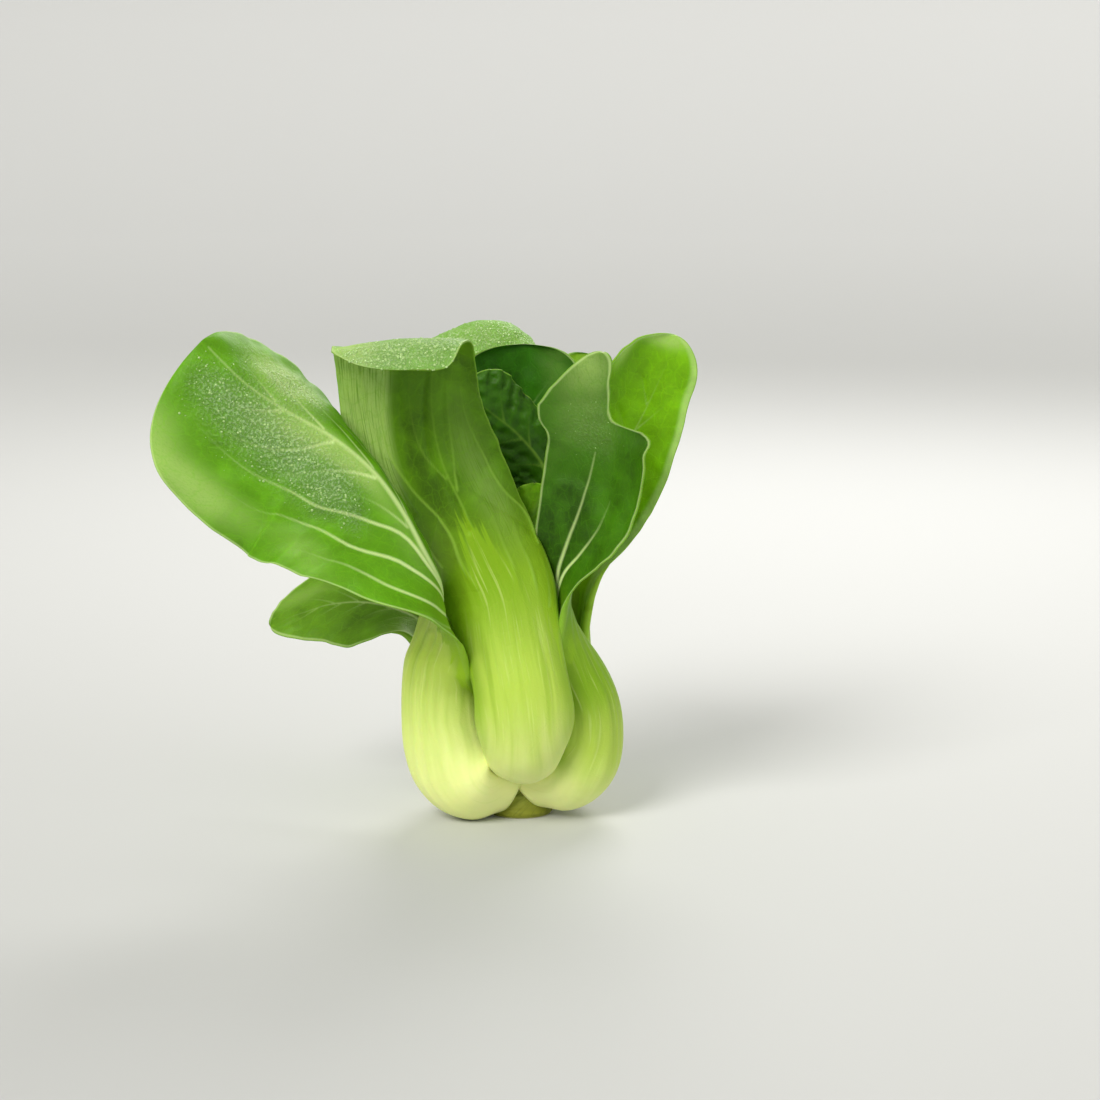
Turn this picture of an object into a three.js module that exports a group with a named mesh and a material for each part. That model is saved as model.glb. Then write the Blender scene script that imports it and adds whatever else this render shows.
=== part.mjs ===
// A head of baby bok choy, standing on its cut end: eleven spoon-shaped leaves round a short stem butt.
// Millimetres, +Z up, -Y the front. The origin is the middle of the butt's cut face.
import * as THREE from "three";

// ---- Driving dimensions ----
const BLADE = 0.7; // thickness of a leaf's thin blade
const STALK_EDGE = 1.6; // thickness of a stalk's margin
const BUTT_RADIUS = 11.5; // cut end of the stem
const BUTT_HEIGHT = 25; // how far the stem runs up between the stalks
const WRAP_LENGTH = 24; // length of stalk over which its foot hugs the butt
const TIP_END = 0.97; // share of a quarter turn at which a leaf's rounded tip is closed off
const ARC_STEPS = 12; // steps in which a half sheet's bend is added up
const BUTT_COLOUR = 0xa3a850;

// ---- Leaves ----
// azimuth: the way the stalk's back faces, in degrees seen from above
// neck: length of the stalk, along the leaf
// thick: thickness of the stalk at its midline
// tip: length of the rounded end, and how square its corners are
// rise: how far a margin runs ahead of the midrib in the blade
// wrap: how far a margin falls behind the midrib at the butt
// curl: power at which a half's bend grows towards its margin; small ones fold it at the midrib
// wave: undulation of the margins
// grid: rows of faces along the stalk, blade and tip, and columns across
// rows: stations from the butt to the tip. Each holds the place of the midrib's outer face (x, y, z), the
//   half widths clockwise and counterclockwise of it as seen from above, the turn of the sheet about the
//   midrib, and how far each half bends inwards by its margin, in degrees.
const LEAVES = [
  {
    name: "leaf_front",
    azimuth: -90,
    neck: 88,
    thick: 8,
    tip: { length: 20, squareness: 3 },
    rise: { cw: 4, ccw: -9 },
    wrap: { cw: 1, ccw: 1 },
    curl: { cw: 1, ccw: 1 },
    wave: { height: 1.2, count: 2.5, phase: 0.6 },
    grid: { stalk: 11, blade: 11, tip: 6, across: 14 },
    colour: 0x9cc24c,
    rows: [
      [0.5, -6.6, 18.5, 5, 5, 0, 10, 10],
      [1, -15, 15.4, 8, 8, 0, 20, 20],
      [1.6, -24, 15.7, 9.5, 8, 0, 26, 28],
      [2, -32.5, 22.5, 11, 9, 0, 32, 36],
      [1.9, -37, 36, 14.5, 14.5, 0, 35, 35],
      [0.5, -37, 51, 13.6, 14.3, 0, 40, 38],
      [-2.5, -33, 67, 15.4, 15.2, 0, 49, 40],
      [-5.3, -30, 81, 18.8, 17, 0, 48, 45],
      [-11.6, -28.5, 94.5, 24, 20, 0, 52, 50],
      [-18.5, -28.5, 110.6, 31, 21, 0, 54, 52],
      [-25.3, -29, 126, 33, 20, 0, 44, 50],
      [-28.3, -31, 141.7, 32, 19, 0, 28, 45],
      [-28.1, -35.5, 156, 32, 17, 0, 14, 40],
      [-27, -42, 165, 33, 14, 0, -5, 20],
      [-26.5, -50, 168, 33, 12, 0, -12, 0],
      [-26.5, -57, 165.5, 32, 10, 0, -12, 0],
      [-26.5, -60.5, 159.5, 31, 10, 0, -12, 0],
    ],
  },
  {
    name: "leaf_left",
    azimuth: -150,
    neck: 84,
    thick: 8,
    tip: { length: 26, squareness: 2.3 },
    rise: { cw: 6, ccw: 0 },
    wrap: { cw: 3, ccw: 6.5 },
    curl: { cw: 0.35, ccw: 1 },
    wave: { height: 1, count: 2, phase: 0 },
    grid: { stalk: 12, blade: 12, tip: 6, across: 14 },
    colour: 0x86b34a,
    rows: [
      [-10.4, -6, 1, 7, 13.8, 0, 10, 95],
      [-17, -9.5, 0, 11, 18.6, 0, 25, 90],
      [-26.5, -13, 3.5, 13, 20.5, 0, 38, 84],
      [-34, -14.5, 12, 13, 21.5, 0, 48, 88],
      [-38, -14, 24, 13.5, 22.5, 0, 50, 104],
      [-39, -13, 36, 14, 23.5, 0, 50, 99],
      [-38.5, -14, 49, 15, 21, 0, 45, 90],
      [-37, -16.5, 57, 15, 18.8, 0, 40, 78],
      [-34, -18.5, 64, 15, 18.6, 0, 30, 56],
      [-29.8, -26.5, 75, 8, 14.5, -18, 0, 40],
      [-28.3, -36, 86, 7, 18, -45, -40, 8],
      [-31.5, -40, 97, 7, 27, -80, -75, -17],
      [-38.5, -42, 112, 9, 39, -90, -85, -25],
      [-48.5, -43, 126, 14, 45, -90, -85, -30],
      [-61, -43, 136.4, 21, 48, -90, -80, -30],
      [-75, -42, 144.4, 24.5, 46, -90, -70, -30],
      [-88.5, -41, 153.4, 24, 42, -90, -60, -30],
      [-102, -40, 167, 21, 34, -90, -50, -30],
    ],
  },
  {
    name: "leaf_right",
    azimuth: -28,
    neck: 84,
    thick: 7.5,
    tip: { length: 22, squareness: 2.2 },
    rise: { cw: 4, ccw: 4 },
    wrap: { cw: 6.5, ccw: 2 },
    curl: { cw: 1, ccw: 1 },
    wave: { height: 1, count: 2, phase: 1 },
    grid: { stalk: 12, blade: 18, tip: 6, across: 12 },
    colour: 0x86b045,
    rows: [
      [10.6, -5.6, 3, 12, 6, 0, 80, 10],
      [17.5, -9, 3, 15, 11, 0, 82, 22],
      [25.5, -12, 7.5, 13.6, 12, 0, 84, 30],
      [31.2, -13.5, 16, 13.4, 13, 0, 92, 35],
      [33, -12, 28, 19, 13.8, 0, 90, 40],
      [31.7, -11, 42, 20, 11.7, 0, 92, 40],
      [26.5, -11, 54, 16, 12, 0, 80, 52],
      [20.5, -12, 66, 10, 9, 20, 55, 45],
      [16, -13, 77, 9, 8, 50, 30, 30],
      [15, -15, 87, 13, 9, 75, 30, 30],
      [17.5, -17, 98, 19, 12, 85, 35, 30],
      [21, -19, 109, 22, 14.5, 90, 35, 30],
      [24, -20, 120, 22.5, 16, 92, 35, 30],
      [26, -22, 130, 20.8, 17.5, 92, 28, 30],
      [26.5, -23, 134.7, 19, 20.5, 92, 26, 28],
      [26.6, -23.2, 136.5, 4.8, 21, 92, 18, 27],
      [26.7, -23.4, 137.9, 4, 21, 92, 16, 26],
      [27, -24, 142, 3.2, 19.5, 92, 12, 24],
      [27, -25, 149, 3.2, 15, 92, 10, 20],
      [27, -26, 155, 4, 11, 92, 10, 20],
      [27.5, -27, 162, 5, 8, 92, 10, 20],
    ],
  },
  {
    name: "leaf_right_back",
    azimuth: 35,
    neck: 84,
    thick: 7,
    tip: { length: 16, squareness: 2 },
    rise: { cw: 0, ccw: 0 },
    wrap: { cw: 1, ccw: 1 },
    curl: { cw: 1, ccw: 2.5 },
    wave: { height: 1, count: 2, phase: 2 },
    grid: { stalk: 10, blade: 10, tip: 5, across: 10 },
    colour: 0x80ab38,
    rows: [
      [9.6, 6.7, 8, 6, 6, 0, 15, 15],
      [16, 11.5, 5.5, 8, 8, 0, 25, 25],
      [22.5, 15, 11, 9.5, 11, 0, 42, 60],
      [24.5, 16.5, 24, 10, 12.5, 0, 58, 84],
      [24.5, 17, 38, 9.7, 12.5, 0, 60, 88],
      [22, 16.4, 54, 8.9, 9.5, 0, 48, 64],
      [19.5, 15.5, 69, 9, 8, 15, 38, 40],
      [19, 14, 84, 11, 7, 35, 30, 30],
      [23, 12, 98, 16, 9, 50, 30, 30],
      [28, 10, 111, 18, 13, 58, 30, 35],
      [34.5, 8, 124, 18, 18, 60, 26, 50],
      [41, 6, 136, 15, 22, 60, 22, 70],
      [46, 4, 147, 12, 22, 60, 16, 80],
      [50, 2, 156.5, 11.5, 20, 60, 10, 80],
      [53, 1, 164.5, 10, 18, 60, 10, 70],
    ],
  },
  {
    name: "leaf_back",
    azimuth: 90,
    neck: 86,
    thick: 7.5,
    tip: { length: 26, squareness: 2 },
    rise: { cw: 0, ccw: 0 },
    wrap: { cw: 1, ccw: 1 },
    curl: { cw: 1, ccw: 1 },
    wave: { height: 1, count: 2, phase: 2 },
    grid: { stalk: 10, blade: 10, tip: 5, across: 10 },
    colour: 0x8ab550,
    rows: [
      [0, 12.1, 3.5, 6, 6, 0, 10, 10],
      [0, 20, 0, 9, 9, 0, 20, 20],
      [0, 30, 3.5, 13, 13, 0, 36, 36],
      [0, 37, 14, 16, 15.7, 0, 42, 41],
      [0, 39, 28, 18, 18, 0, 46, 46],
      [0, 38, 44, 17.5, 17.5, 0, 46, 46],
      [-1, 35, 60, 15.5, 15.5, 0, 44, 44],
      [-2, 32, 76, 14, 14, 0, 40, 40],
      [-5, 32, 92, 15, 18, 0, 38, 38],
      [-8, 32, 108, 18, 22, 0, 34, 34],
      [-10, 33, 124, 21, 25, 0, 25, 25],
      [-12, 35, 140, 23, 26, 0, 5, 5],
      [-12, 38, 152, 23, 26, 0, -20, -20],
      [-12, 43, 160, 22, 25, 0, -35, -35],
      [-11, 50, 164, 21, 24, 0, -40, -40],
      [-11, 60, 162, 20, 23, 0, -40, -40],
    ],
  },
  {
    name: "leaf_back_left",
    azimuth: 145,
    neck: 66,
    thick: 7,
    tip: { length: 16, squareness: 1.7 },
    rise: { cw: 4, ccw: 4 },
    wrap: { cw: 1, ccw: 1 },
    curl: { cw: 1, ccw: 1 },
    wave: { height: 1, count: 1.5, phase: 0 },
    grid: { stalk: 10, blade: 8, tip: 5, across: 10 },
    colour: 0x7ba542,
    rows: [
      [-9.6, 6.7, 8, 6, 6, 0, 15, 15],
      [-16, 11.5, 5.5, 7.5, 8, 0, 25, 25],
      [-24, 17, 11, 10, 10, 0, 60, 42],
      [-28, 19.3, 24, 12.3, 11, 0, 84, 56],
      [-29, 19.3, 38, 12.3, 11, 0, 88, 56],
      [-31, 20.5, 51, 10.5, 11, -5, 60, 48],
      [-36, 22, 60, 9, 10, -15, 25, 25],
      [-45, 25, 65, 14, 16, -30, 15, 5],
      [-56, 28, 67, 18, 19, -40, 10, -10],
      [-67, 30, 66, 18, 15, -45, 5, -15],
      [-78, 31, 62.5, 14, 10, -45, 0, -20],
      [-88, 31, 58, 9, 7, -45, 0, -20],
    ],
  },
  {
    name: "leaf_inner_right",
    azimuth: 50,
    neck: 84,
    thick: 5,
    tip: { length: 16, squareness: 2.2 },
    rise: { cw: 4, ccw: 4 },
    wrap: { cw: 0, ccw: 0 },
    curl: { cw: 1, ccw: 1 },
    wave: { height: 1, count: 1.5, phase: 1 },
    grid: { stalk: 9, blade: 8, tip: 5, across: 8 },
    colour: 0x83ad4a,
    rows: [
      [6.2, 6.4, 15, 3.5, 3.5, 0, 10, 10],
      [8, 10.5, 20, 4, 4, 0, 25, 25],
      [8.3, 13, 36, 4, 3.5, 0, 40, 40],
      [7, 15, 52, 4, 3.5, 0, 40, 40],
      [5.5, 19, 68, 4.5, 3.5, 0, 35, 35],
      [6, 22, 84, 6, 6, 0, 35, 35],
      [10, 23, 100, 9, 9, 10, 35, 35],
      [15, 24, 118, 13, 13, 20, 35, 35],
      [18.5, 25, 134, 13, 12, 25, 30, 30],
      [20.5, 26, 147, 11, 10, 30, 20, 20],
      [21.5, 27, 156, 9, 8, 30, 10, 10],
    ],
  },
  {
    name: "leaf_inner_back",
    azimuth: 128,
    neck: 80,
    thick: 5,
    tip: { length: 18, squareness: 2.6 },
    rise: { cw: 4, ccw: 4 },
    wrap: { cw: 0, ccw: 0 },
    curl: { cw: 1, ccw: 1 },
    wave: { height: 1, count: 1.5, phase: 1 },
    grid: { stalk: 9, blade: 9, tip: 5, across: 10 },
    colour: 0x66943a,
    rows: [
      [-4.2, 6.4, 16, 3.5, 3.5, 0, 10, 10],
      [-7, 11, 20, 5, 5, 0, 25, 25],
      [-8.5, 14, 34, 5, 5, 0, 42, 42],
      [-9, 15, 52, 5, 5, 0, 42, 42],
      [-8.5, 16, 68, 5.5, 6, -10, 38, 38],
      [-6, 16.5, 84, 9, 10, -25, 42, 42],
      [-3, 17, 100, 15, 16, -35, 46, 46],
      [-1, 18, 116, 20, 21, -38, 50, 50],
      [1, 18, 132, 22, 23, -38, 50, 50],
      [1, 18, 148, 22, 23, -38, 46, 46],
      [1, 18, 160, 21, 21, -38, 40, 40],
    ],
  },
  {
    name: "leaf_heart_right",
    azimuth: -5,
    neck: 84,
    thick: 5,
    tip: { length: 18, squareness: 2.2 },
    rise: { cw: 4, ccw: 4 },
    wrap: { cw: 0, ccw: 0 },
    curl: { cw: 1, ccw: 1 },
    wave: { height: 1.2, count: 2.5, phase: 1 },
    grid: { stalk: 9, blade: 8, tip: 5, across: 8 },
    colour: 0x4c7a2c,
    rows: [
      [9.4, -0.9, 13.5, 3.5, 2.5, 0, 10, 10],
      [12.5, -1.6, 17, 5, 3, 0, 25, 25],
      [15, -2, 32, 6, 4.5, 0, 42, 40],
      [14, -1, 50, 6, 4.5, 0, 42, 40],
      [11, 1, 68, 5, 4.5, -10, 38, 38],
      [9.5, 1, 86, 6, 4.5, -30, 30, 30],
      [9.5, 0, 104, 9, 5, -60, 25, 25],
      [8, -2, 120, 15, 7, -75, 20, 20],
      [-0.5, -4, 131.5, 18, 12, -80, 20, 20],
      [-11.5, -7, 141, 17, 14, -80, 20, 20],
      [-19, -9, 148, 15, 14, -80, 20, 20],
    ],
  },
  {
    name: "leaf_heart_left",
    azimuth: 185,
    neck: 70,
    thick: 4.5,
    tip: { length: 14, squareness: 2.2 },
    rise: { cw: 3, ccw: 3 },
    wrap: { cw: 0, ccw: 0 },
    curl: { cw: 1, ccw: 1 },
    wave: { height: 1, count: 2.5, phase: 0 },
    grid: { stalk: 8, blade: 6, tip: 4, across: 8 },
    colour: 0x5d8d35,
    rows: [
      [-7.8, -0.6, 18.5, 3, 3, 0, 10, 10],
      [-10.5, -1, 24, 4, 4, 0, 30, 30],
      [-12.5, -2, 40, 4.5, 4, 0, 40, 40],
      [-13, -3, 58, 4.5, 4, 0, 40, 40],
      [-14, -4, 74, 6, 6, 0, 40, 40],
      [-17, -4, 90, 8, 10, 0, 35, 35],
      [-20, -4, 104, 9, 12, 0, 35, 35],
      [-22, -4, 115, 9, 11, 0, 30, 30],
      [-22, -3, 124, 8, 9, 0, 25, 25],
    ],
  },
  {
    name: "leaf_heart_front",
    azimuth: -120,
    neck: 60,
    thick: 4,
    tip: { length: 12, squareness: 2.2 },
    rise: { cw: 3, ccw: 3 },
    wrap: { cw: 0, ccw: 0 },
    curl: { cw: 1, ccw: 1 },
    wave: { height: 0.8, count: 2, phase: 0 },
    grid: { stalk: 8, blade: 6, tip: 4, across: 8 },
    colour: 0x6c9c3c,
    rows: [
      [-2.8, -5, 23, 2, 2, 0, 10, 10],
      [-3, -7, 27, 3, 3, 0, 30, 30],
      [-2.5, -9, 42, 3.5, 3.5, 0, 40, 40],
      [-1.5, -9.5, 58, 3.5, 3.5, 10, 40, 40],
      [0, -9, 72, 4.5, 4.5, 20, 40, 40],
      [1.5, -8, 86, 6.5, 6.5, 30, 40, 40],
      [3, -9, 99, 8, 8, 40, 40, 40],
      [5.5, -11.5, 116, 6, 6, 50, 30, 30],
    ],
  },
];

// ---- Shape of a leaf ----
const radians = THREE.MathUtils.degToRad;
const clamp = (v) => Math.min(1, Math.max(0, v));
const ease = (v) => clamp(v) ** 2 * (3 - 2 * clamp(v));

/** A smooth curve through a table's rows, by distance along its first three columns. */
class Loft {
  constructor(rows) {
    this.rows = rows;
    this.at = [0];
    for (let i = 1; i < rows.length; i++) {
      const [a, b] = [rows[i - 1], rows[i]];
      this.at.push(this.at[i - 1] + Math.hypot(b[0] - a[0], b[1] - a[1], b[2] - a[2]));
    }
    this.length = this.at.at(-1);
    this.slopes = rows.map((row, i) => row.map((_, k) => this.slope(i, k)));
  }

  slope(i, k) {
    const step = (j) => (this.rows[j + 1][k] - this.rows[j][k]) / (this.at[j + 1] - this.at[j]);
    if (i === 0) return step(0);
    if (i === this.rows.length - 1) return step(i - 1);
    const before = this.at[i] - this.at[i - 1];
    const after = this.at[i + 1] - this.at[i];
    return (step(i - 1) * after + step(i) * before) / (before + after);
  }

  /** Every column, and the direction of travel, at a distance along the curve. */
  sample(distance) {
    const last = this.rows.length - 1;
    if (distance < 0 || distance >= this.length) {
      const end = distance < 0 ? 0 : last;
      const over = distance < 0 ? distance : distance - this.length;
      const row = this.rows[end].map((v, k) => (k < 3 ? v + this.slopes[end][k] * over : v));
      return { row, travel: new THREE.Vector3(...this.slopes[end].slice(0, 3)).normalize() };
    }
    let i = 0;
    while (i < last - 1 && this.at[i + 1] <= distance) i++;
    const span = this.at[i + 1] - this.at[i];
    const f = (distance - this.at[i]) / span;
    const [p, q, m, n] = [this.rows[i], this.rows[i + 1], this.slopes[i], this.slopes[i + 1]];
    const row = p.map(
      (v, k) =>
        v * (2 * f ** 3 - 3 * f ** 2 + 1) +
        span * m[k] * (f ** 3 - 2 * f ** 2 + f) +
        q[k] * (3 * f ** 2 - 2 * f ** 3) +
        span * n[k] * (f ** 3 - f ** 2),
    );
    const travel = [0, 1, 2].map(
      (k) =>
        ((q[k] - p[k]) / span) * (6 * f - 6 * f ** 2) +
        m[k] * (3 * f ** 2 - 4 * f + 1) +
        n[k] * (3 * f ** 2 - 2 * f),
    );
    return { row, travel: new THREE.Vector3(...travel).normalize() };
  }
}

/** Thickness at a distance along the leaf and an arc length out from its midrib. */
function thicknessAt(leaf, distance, arc, halfWidth, total) {
  const stalk = clamp(distance / leaf.neck);
  const blade = clamp((distance - leaf.neck) / (total - leaf.neck));
  const swell = 0.5 + 0.5 * ease(stalk / 0.3) - 0.38 * ease((stalk - 0.35) / 0.65);
  const rib = BLADE + (leaf.thick * swell - BLADE) * (1 - blade) ** 2.2;
  const ribWidth = halfWidth * 1.02 * (1 - ease(blade / 0.4)) + 3.2 * (1 - blade) + 1;
  const edge = BLADE + (STALK_EDGE - BLADE) * (1 - ease(blade / 0.15));
  const bulge = Math.max(0, 1 - (arc / ribWidth) ** 2) ** 0.8;
  return edge + (rib - edge) * bulge;
}

/** Inner and outer point of the leaf's sheet. share is -1 at the clockwise margin and 1 at the other. */
function sheetPoint(leaf, loft, middle, share) {
  const q = Math.abs(share);
  const side = share < 0 ? -1 : 1;
  const half = share < 0 ? "cw" : "ccw";
  const blade = clamp((middle - leaf.neck) / (loft.length - leaf.neck));
  const tipShare = clamp((middle - loft.length + leaf.tip.length) / leaf.tip.length);
  const round = (1 - tipShare ** leaf.tip.squareness) ** (1 / leaf.tip.squareness);
  const halfWidth = loft.sample(middle).row[share < 0 ? 3 : 4];
  const width = halfWidth * round;

  // A margin may run ahead of the midrib in the blade, and falls behind it at the butt.
  const ahead = leaf.rise[half] * ease(blade) * (1 - tipShare ** 2);
  const behind = leaf.wrap[half] * (1 - ease(middle / WRAP_LENGTH));
  const distance = middle + (ahead - behind) * q ** 2;

  const { row, travel } = loft.sample(distance);
  const azimuth = radians(leaf.azimuth);
  const across = new THREE.Vector3(-Math.sin(azimuth), Math.cos(azimuth), 0);
  across.addScaledVector(travel, -across.dot(travel)).normalize();
  across.applyAxisAngle(travel, radians(row[5]));
  const outward = new THREE.Vector3().crossVectors(across, travel);
  const cup = radians(row[share < 0 ? 6 : 7]);
  const curl = leaf.curl[half];

  // The half sheet's arc, bent inwards more and more towards its margin.
  let sideways = 0;
  let inwards = 0;
  for (let i = 0; i < ARC_STEPS; i++) {
    const angle = cup * (((i + 0.5) / ARC_STEPS) * q) ** curl;
    sideways += (Math.cos(angle) * q * width) / ARC_STEPS;
    inwards += (Math.sin(angle) * q * width) / ARC_STEPS;
  }
  const bend = cup * q ** curl;
  const normal = outward.clone().multiplyScalar(Math.cos(bend));
  normal.addScaledVector(across, side * Math.sin(bend));

  const centre = thicknessAt(leaf, distance, 0, halfWidth, loft.length);
  const phase = 2 * Math.PI * leaf.wave.count * blade + leaf.wave.phase + (share < 0 ? 1.3 : 0);
  const ripple = leaf.wave.height * q ** 2.5 * ease(blade / 0.3) * Math.sin(phase);
  const inner = new THREE.Vector3(row[0], row[1], row[2])
    .addScaledVector(outward, -centre - inwards)
    .addScaledVector(across, side * sideways)
    .addScaledVector(normal, ripple);
  const thickness = thicknessAt(leaf, distance, q * width, halfWidth, loft.length);
  return [inner, inner.clone().addScaledVector(normal, thickness)];
}

/** A leaf as one closed solid: an outer and an inner sheet with the same triangles, joined round the edge. */
function leafGeometry(leaf) {
  const loft = new Loft(leaf.rows);
  const { stalk, blade, tip, across } = leaf.grid;
  const tipStart = loft.length - leaf.tip.length;
  const middles = [];
  for (let i = 0; i < stalk; i++) middles.push((leaf.neck * i) / stalk);
  for (let i = 0; i < blade; i++) middles.push(leaf.neck + ((tipStart - leaf.neck) * i) / blade);
  for (let i = 0; i <= tip; i++) {
    middles.push(tipStart + leaf.tip.length * Math.sin((i / tip) * TIP_END * (Math.PI / 2)));
  }
  const positions = [];
  for (const middle of middles) {
    for (let j = 0; j <= across; j++) {
      for (const point of sheetPoint(leaf, loft, middle, (2 * j) / across - 1)) {
        positions.push(point.x, point.y, Math.max(point.z, 0));
      }
    }
  }
  const inner = (i, j) => 2 * (i * (across + 1) + j);
  const outer = (i, j) => inner(i, j) + 1;
  const faces = [];
  const quad = (a, b, c, d) => faces.push(a, b, c, a, c, d);
  const last = middles.length - 1;
  for (let i = 0; i < last; i++) {
    for (let j = 0; j < across; j++) {
      quad(outer(i, j), outer(i, j + 1), outer(i + 1, j + 1), outer(i + 1, j));
      quad(inner(i, j + 1), inner(i, j), inner(i + 1, j), inner(i + 1, j + 1));
    }
    quad(outer(i, 0), outer(i + 1, 0), inner(i + 1, 0), inner(i, 0));
    quad(outer(i, across), inner(i, across), inner(i + 1, across), outer(i + 1, across));
  }
  for (let j = 0; j < across; j++) {
    quad(outer(0, j), inner(0, j), inner(0, j + 1), outer(0, j + 1));
    quad(outer(last, j), outer(last, j + 1), inner(last, j + 1), inner(last, j));
  }
  const geometry = new THREE.BufferGeometry();
  geometry.setAttribute("position", new THREE.Float32BufferAttribute(positions, 3));
  geometry.setIndex(faces);
  geometry.computeVertexNormals();
  return geometry;
}

/** The short stem that the stalks grow from, cut flat below and narrowing upwards. */
function buttGeometry() {
  const profile = [
    [0, 0],
    [BUTT_RADIUS - 1, 0],
    [BUTT_RADIUS, 1.2],
    [BUTT_RADIUS - 0.6, 4],
    [BUTT_RADIUS - 3.5, 12],
    [BUTT_RADIUS - 6.5, 20],
    [BUTT_RADIUS - 9, BUTT_HEIGHT],
    [0, BUTT_HEIGHT + 0.6],
  ];
  const geometry = new THREE.LatheGeometry(profile.map(([r, z]) => new THREE.Vector2(r, z)), 24);
  return geometry.rotateX(Math.PI / 2);
}

// ---- The head ----
const head = new THREE.Group();

function add(name, geometry, colour, roughness) {
  const material = new THREE.MeshStandardMaterial({ color: colour, roughness, metalness: 0 });
  const mesh = new THREE.Mesh(geometry, material);
  mesh.name = name;
  head.add(mesh);
}

add("butt", buttGeometry(), BUTT_COLOUR, 0.7);
for (const leaf of LEAVES) add(leaf.name, leafGeometry(leaf), leaf.colour, 0.45);

export default head;
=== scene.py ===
# %% [markdown]
# # A head of baby bok choy
# The head stands on its cut end. Eleven spoon-shaped leaves grow from one short stem: each has a thick
# pale stalk that hugs its neighbours, and a thin green blade that opens above the neck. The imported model
# already holds every leaf at its real size. This lesson dresses it: it grows the same leaves again on a
# finer grid, with ribs, veins and puckers, gives them a skin, wets them, and lights them.

# %% Load the frame
import math
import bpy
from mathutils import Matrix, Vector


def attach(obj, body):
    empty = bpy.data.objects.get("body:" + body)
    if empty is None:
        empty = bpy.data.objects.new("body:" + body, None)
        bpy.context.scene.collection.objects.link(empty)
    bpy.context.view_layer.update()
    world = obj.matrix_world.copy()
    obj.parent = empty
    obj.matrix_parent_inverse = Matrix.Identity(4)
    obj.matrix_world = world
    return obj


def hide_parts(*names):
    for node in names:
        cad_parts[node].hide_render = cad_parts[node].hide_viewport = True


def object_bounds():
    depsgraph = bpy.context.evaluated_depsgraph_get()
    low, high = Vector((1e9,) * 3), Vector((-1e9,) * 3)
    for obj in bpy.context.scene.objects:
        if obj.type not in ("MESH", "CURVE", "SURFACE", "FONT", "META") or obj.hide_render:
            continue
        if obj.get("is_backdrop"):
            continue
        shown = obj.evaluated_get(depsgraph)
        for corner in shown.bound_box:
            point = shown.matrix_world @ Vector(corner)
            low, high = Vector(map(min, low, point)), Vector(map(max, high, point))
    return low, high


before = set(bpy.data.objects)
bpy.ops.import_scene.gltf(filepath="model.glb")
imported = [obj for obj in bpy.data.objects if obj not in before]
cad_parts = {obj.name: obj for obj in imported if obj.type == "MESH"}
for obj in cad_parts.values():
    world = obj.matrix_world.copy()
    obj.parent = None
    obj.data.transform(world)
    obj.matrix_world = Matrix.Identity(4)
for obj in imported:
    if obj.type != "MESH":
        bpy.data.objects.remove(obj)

from types import SimpleNamespace

import bpy
import numpy as np
from mathutils import Vector

MM = 0.001  # the tables below are in millimetres, and Blender's scene is in metres
cad_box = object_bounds()
print("frame:", len(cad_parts), "nodes")
print("size in mm:", [round(v / MM, 1) for v in cad_box[1] - cad_box[0]])

# %% [markdown]
# ## Camera and light
# The camera looks slightly down at the head, from a metre away through a long lens, so that near and far
# leaves keep their true proportions. A sun that is as broad as a window shines from the upper left: it
# models the stalks and lights head and backdrop evenly. A weak square light fills the right side, and one
# behind the head shines through the thin blades, which is what makes a leaf look alive.

# %% Camera
AIM = Vector((0.0102, 0, 0.0915))  # metres
DISTANCE = 1.0  # metres
ELEVATION = math.radians(10)
LENS = 96.26  # millimetres

camera_data = bpy.data.cameras.new("camera")
camera_data.lens = LENS
camera = bpy.data.objects.new("camera", camera_data)
bpy.context.scene.collection.objects.link(camera)
back = Vector((0, -math.cos(ELEVATION), math.sin(ELEVATION)))
camera.location = AIM + back * DISTANCE
camera.rotation_euler = (-back).to_track_quat("-Z", "Y").to_euler()
bpy.context.scene.camera = camera
bpy.context.scene.view_settings.view_transform = "Standard"
print("camera at", [round(v, 3) for v in camera.location])

# %% Lights and world
KEY_DIRECTION = Vector((0.54, 0.80, -0.75))
KEY_STRENGTH = 2.65  # watts per square metre
KEY_BREADTH = math.radians(28)  # how wide the sun looks from the head
KEY_COLOUR = (1, 0.97, 0.88)
SKY_COLOUR = (0.96, 0.95, 0.78, 1)
SKY_STRENGTH = 0.47
LIGHTS = {
    # name: (place, size in metres, power in watts, colour)
    "fill": ((0.9, -0.7, 0.4), 0.8, 2.2, (0.98, 0.98, 0.97)),
    "back": ((0.2, 0.8, 0.75), 0.5, 5.5, (1, 0.98, 0.9)),
}


def add_light(name, place, size, power, colour):
    """A square soft light that faces the middle of the head."""
    data = bpy.data.lights.new(name, "AREA")
    data.size = size
    data.energy = power
    data.color = colour
    light = bpy.data.objects.new(name, data)
    light.location = place
    light.rotation_euler = (AIM - Vector(place)).to_track_quat("-Z", "Y").to_euler()
    bpy.context.scene.collection.objects.link(light)


for light_name, facts in LIGHTS.items():
    add_light(light_name, *facts)

key_data = bpy.data.lights.new("key", "SUN")
key_data.energy = KEY_STRENGTH
key_data.angle = KEY_BREADTH
key_data.color = KEY_COLOUR
key = bpy.data.objects.new("key", key_data)
key.rotation_euler = KEY_DIRECTION.to_track_quat("-Z", "Y").to_euler()
bpy.context.scene.collection.objects.link(key)

world = bpy.data.worlds.new("studio")
world.use_nodes = True
sky = world.node_tree.nodes["Background"]
sky.inputs["Color"].default_value = SKY_COLOUR
sky.inputs["Strength"].default_value = SKY_STRENGTH
bpy.context.scene.world = world
print("lights: key,", ", ".join(LIGHTS))

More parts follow.
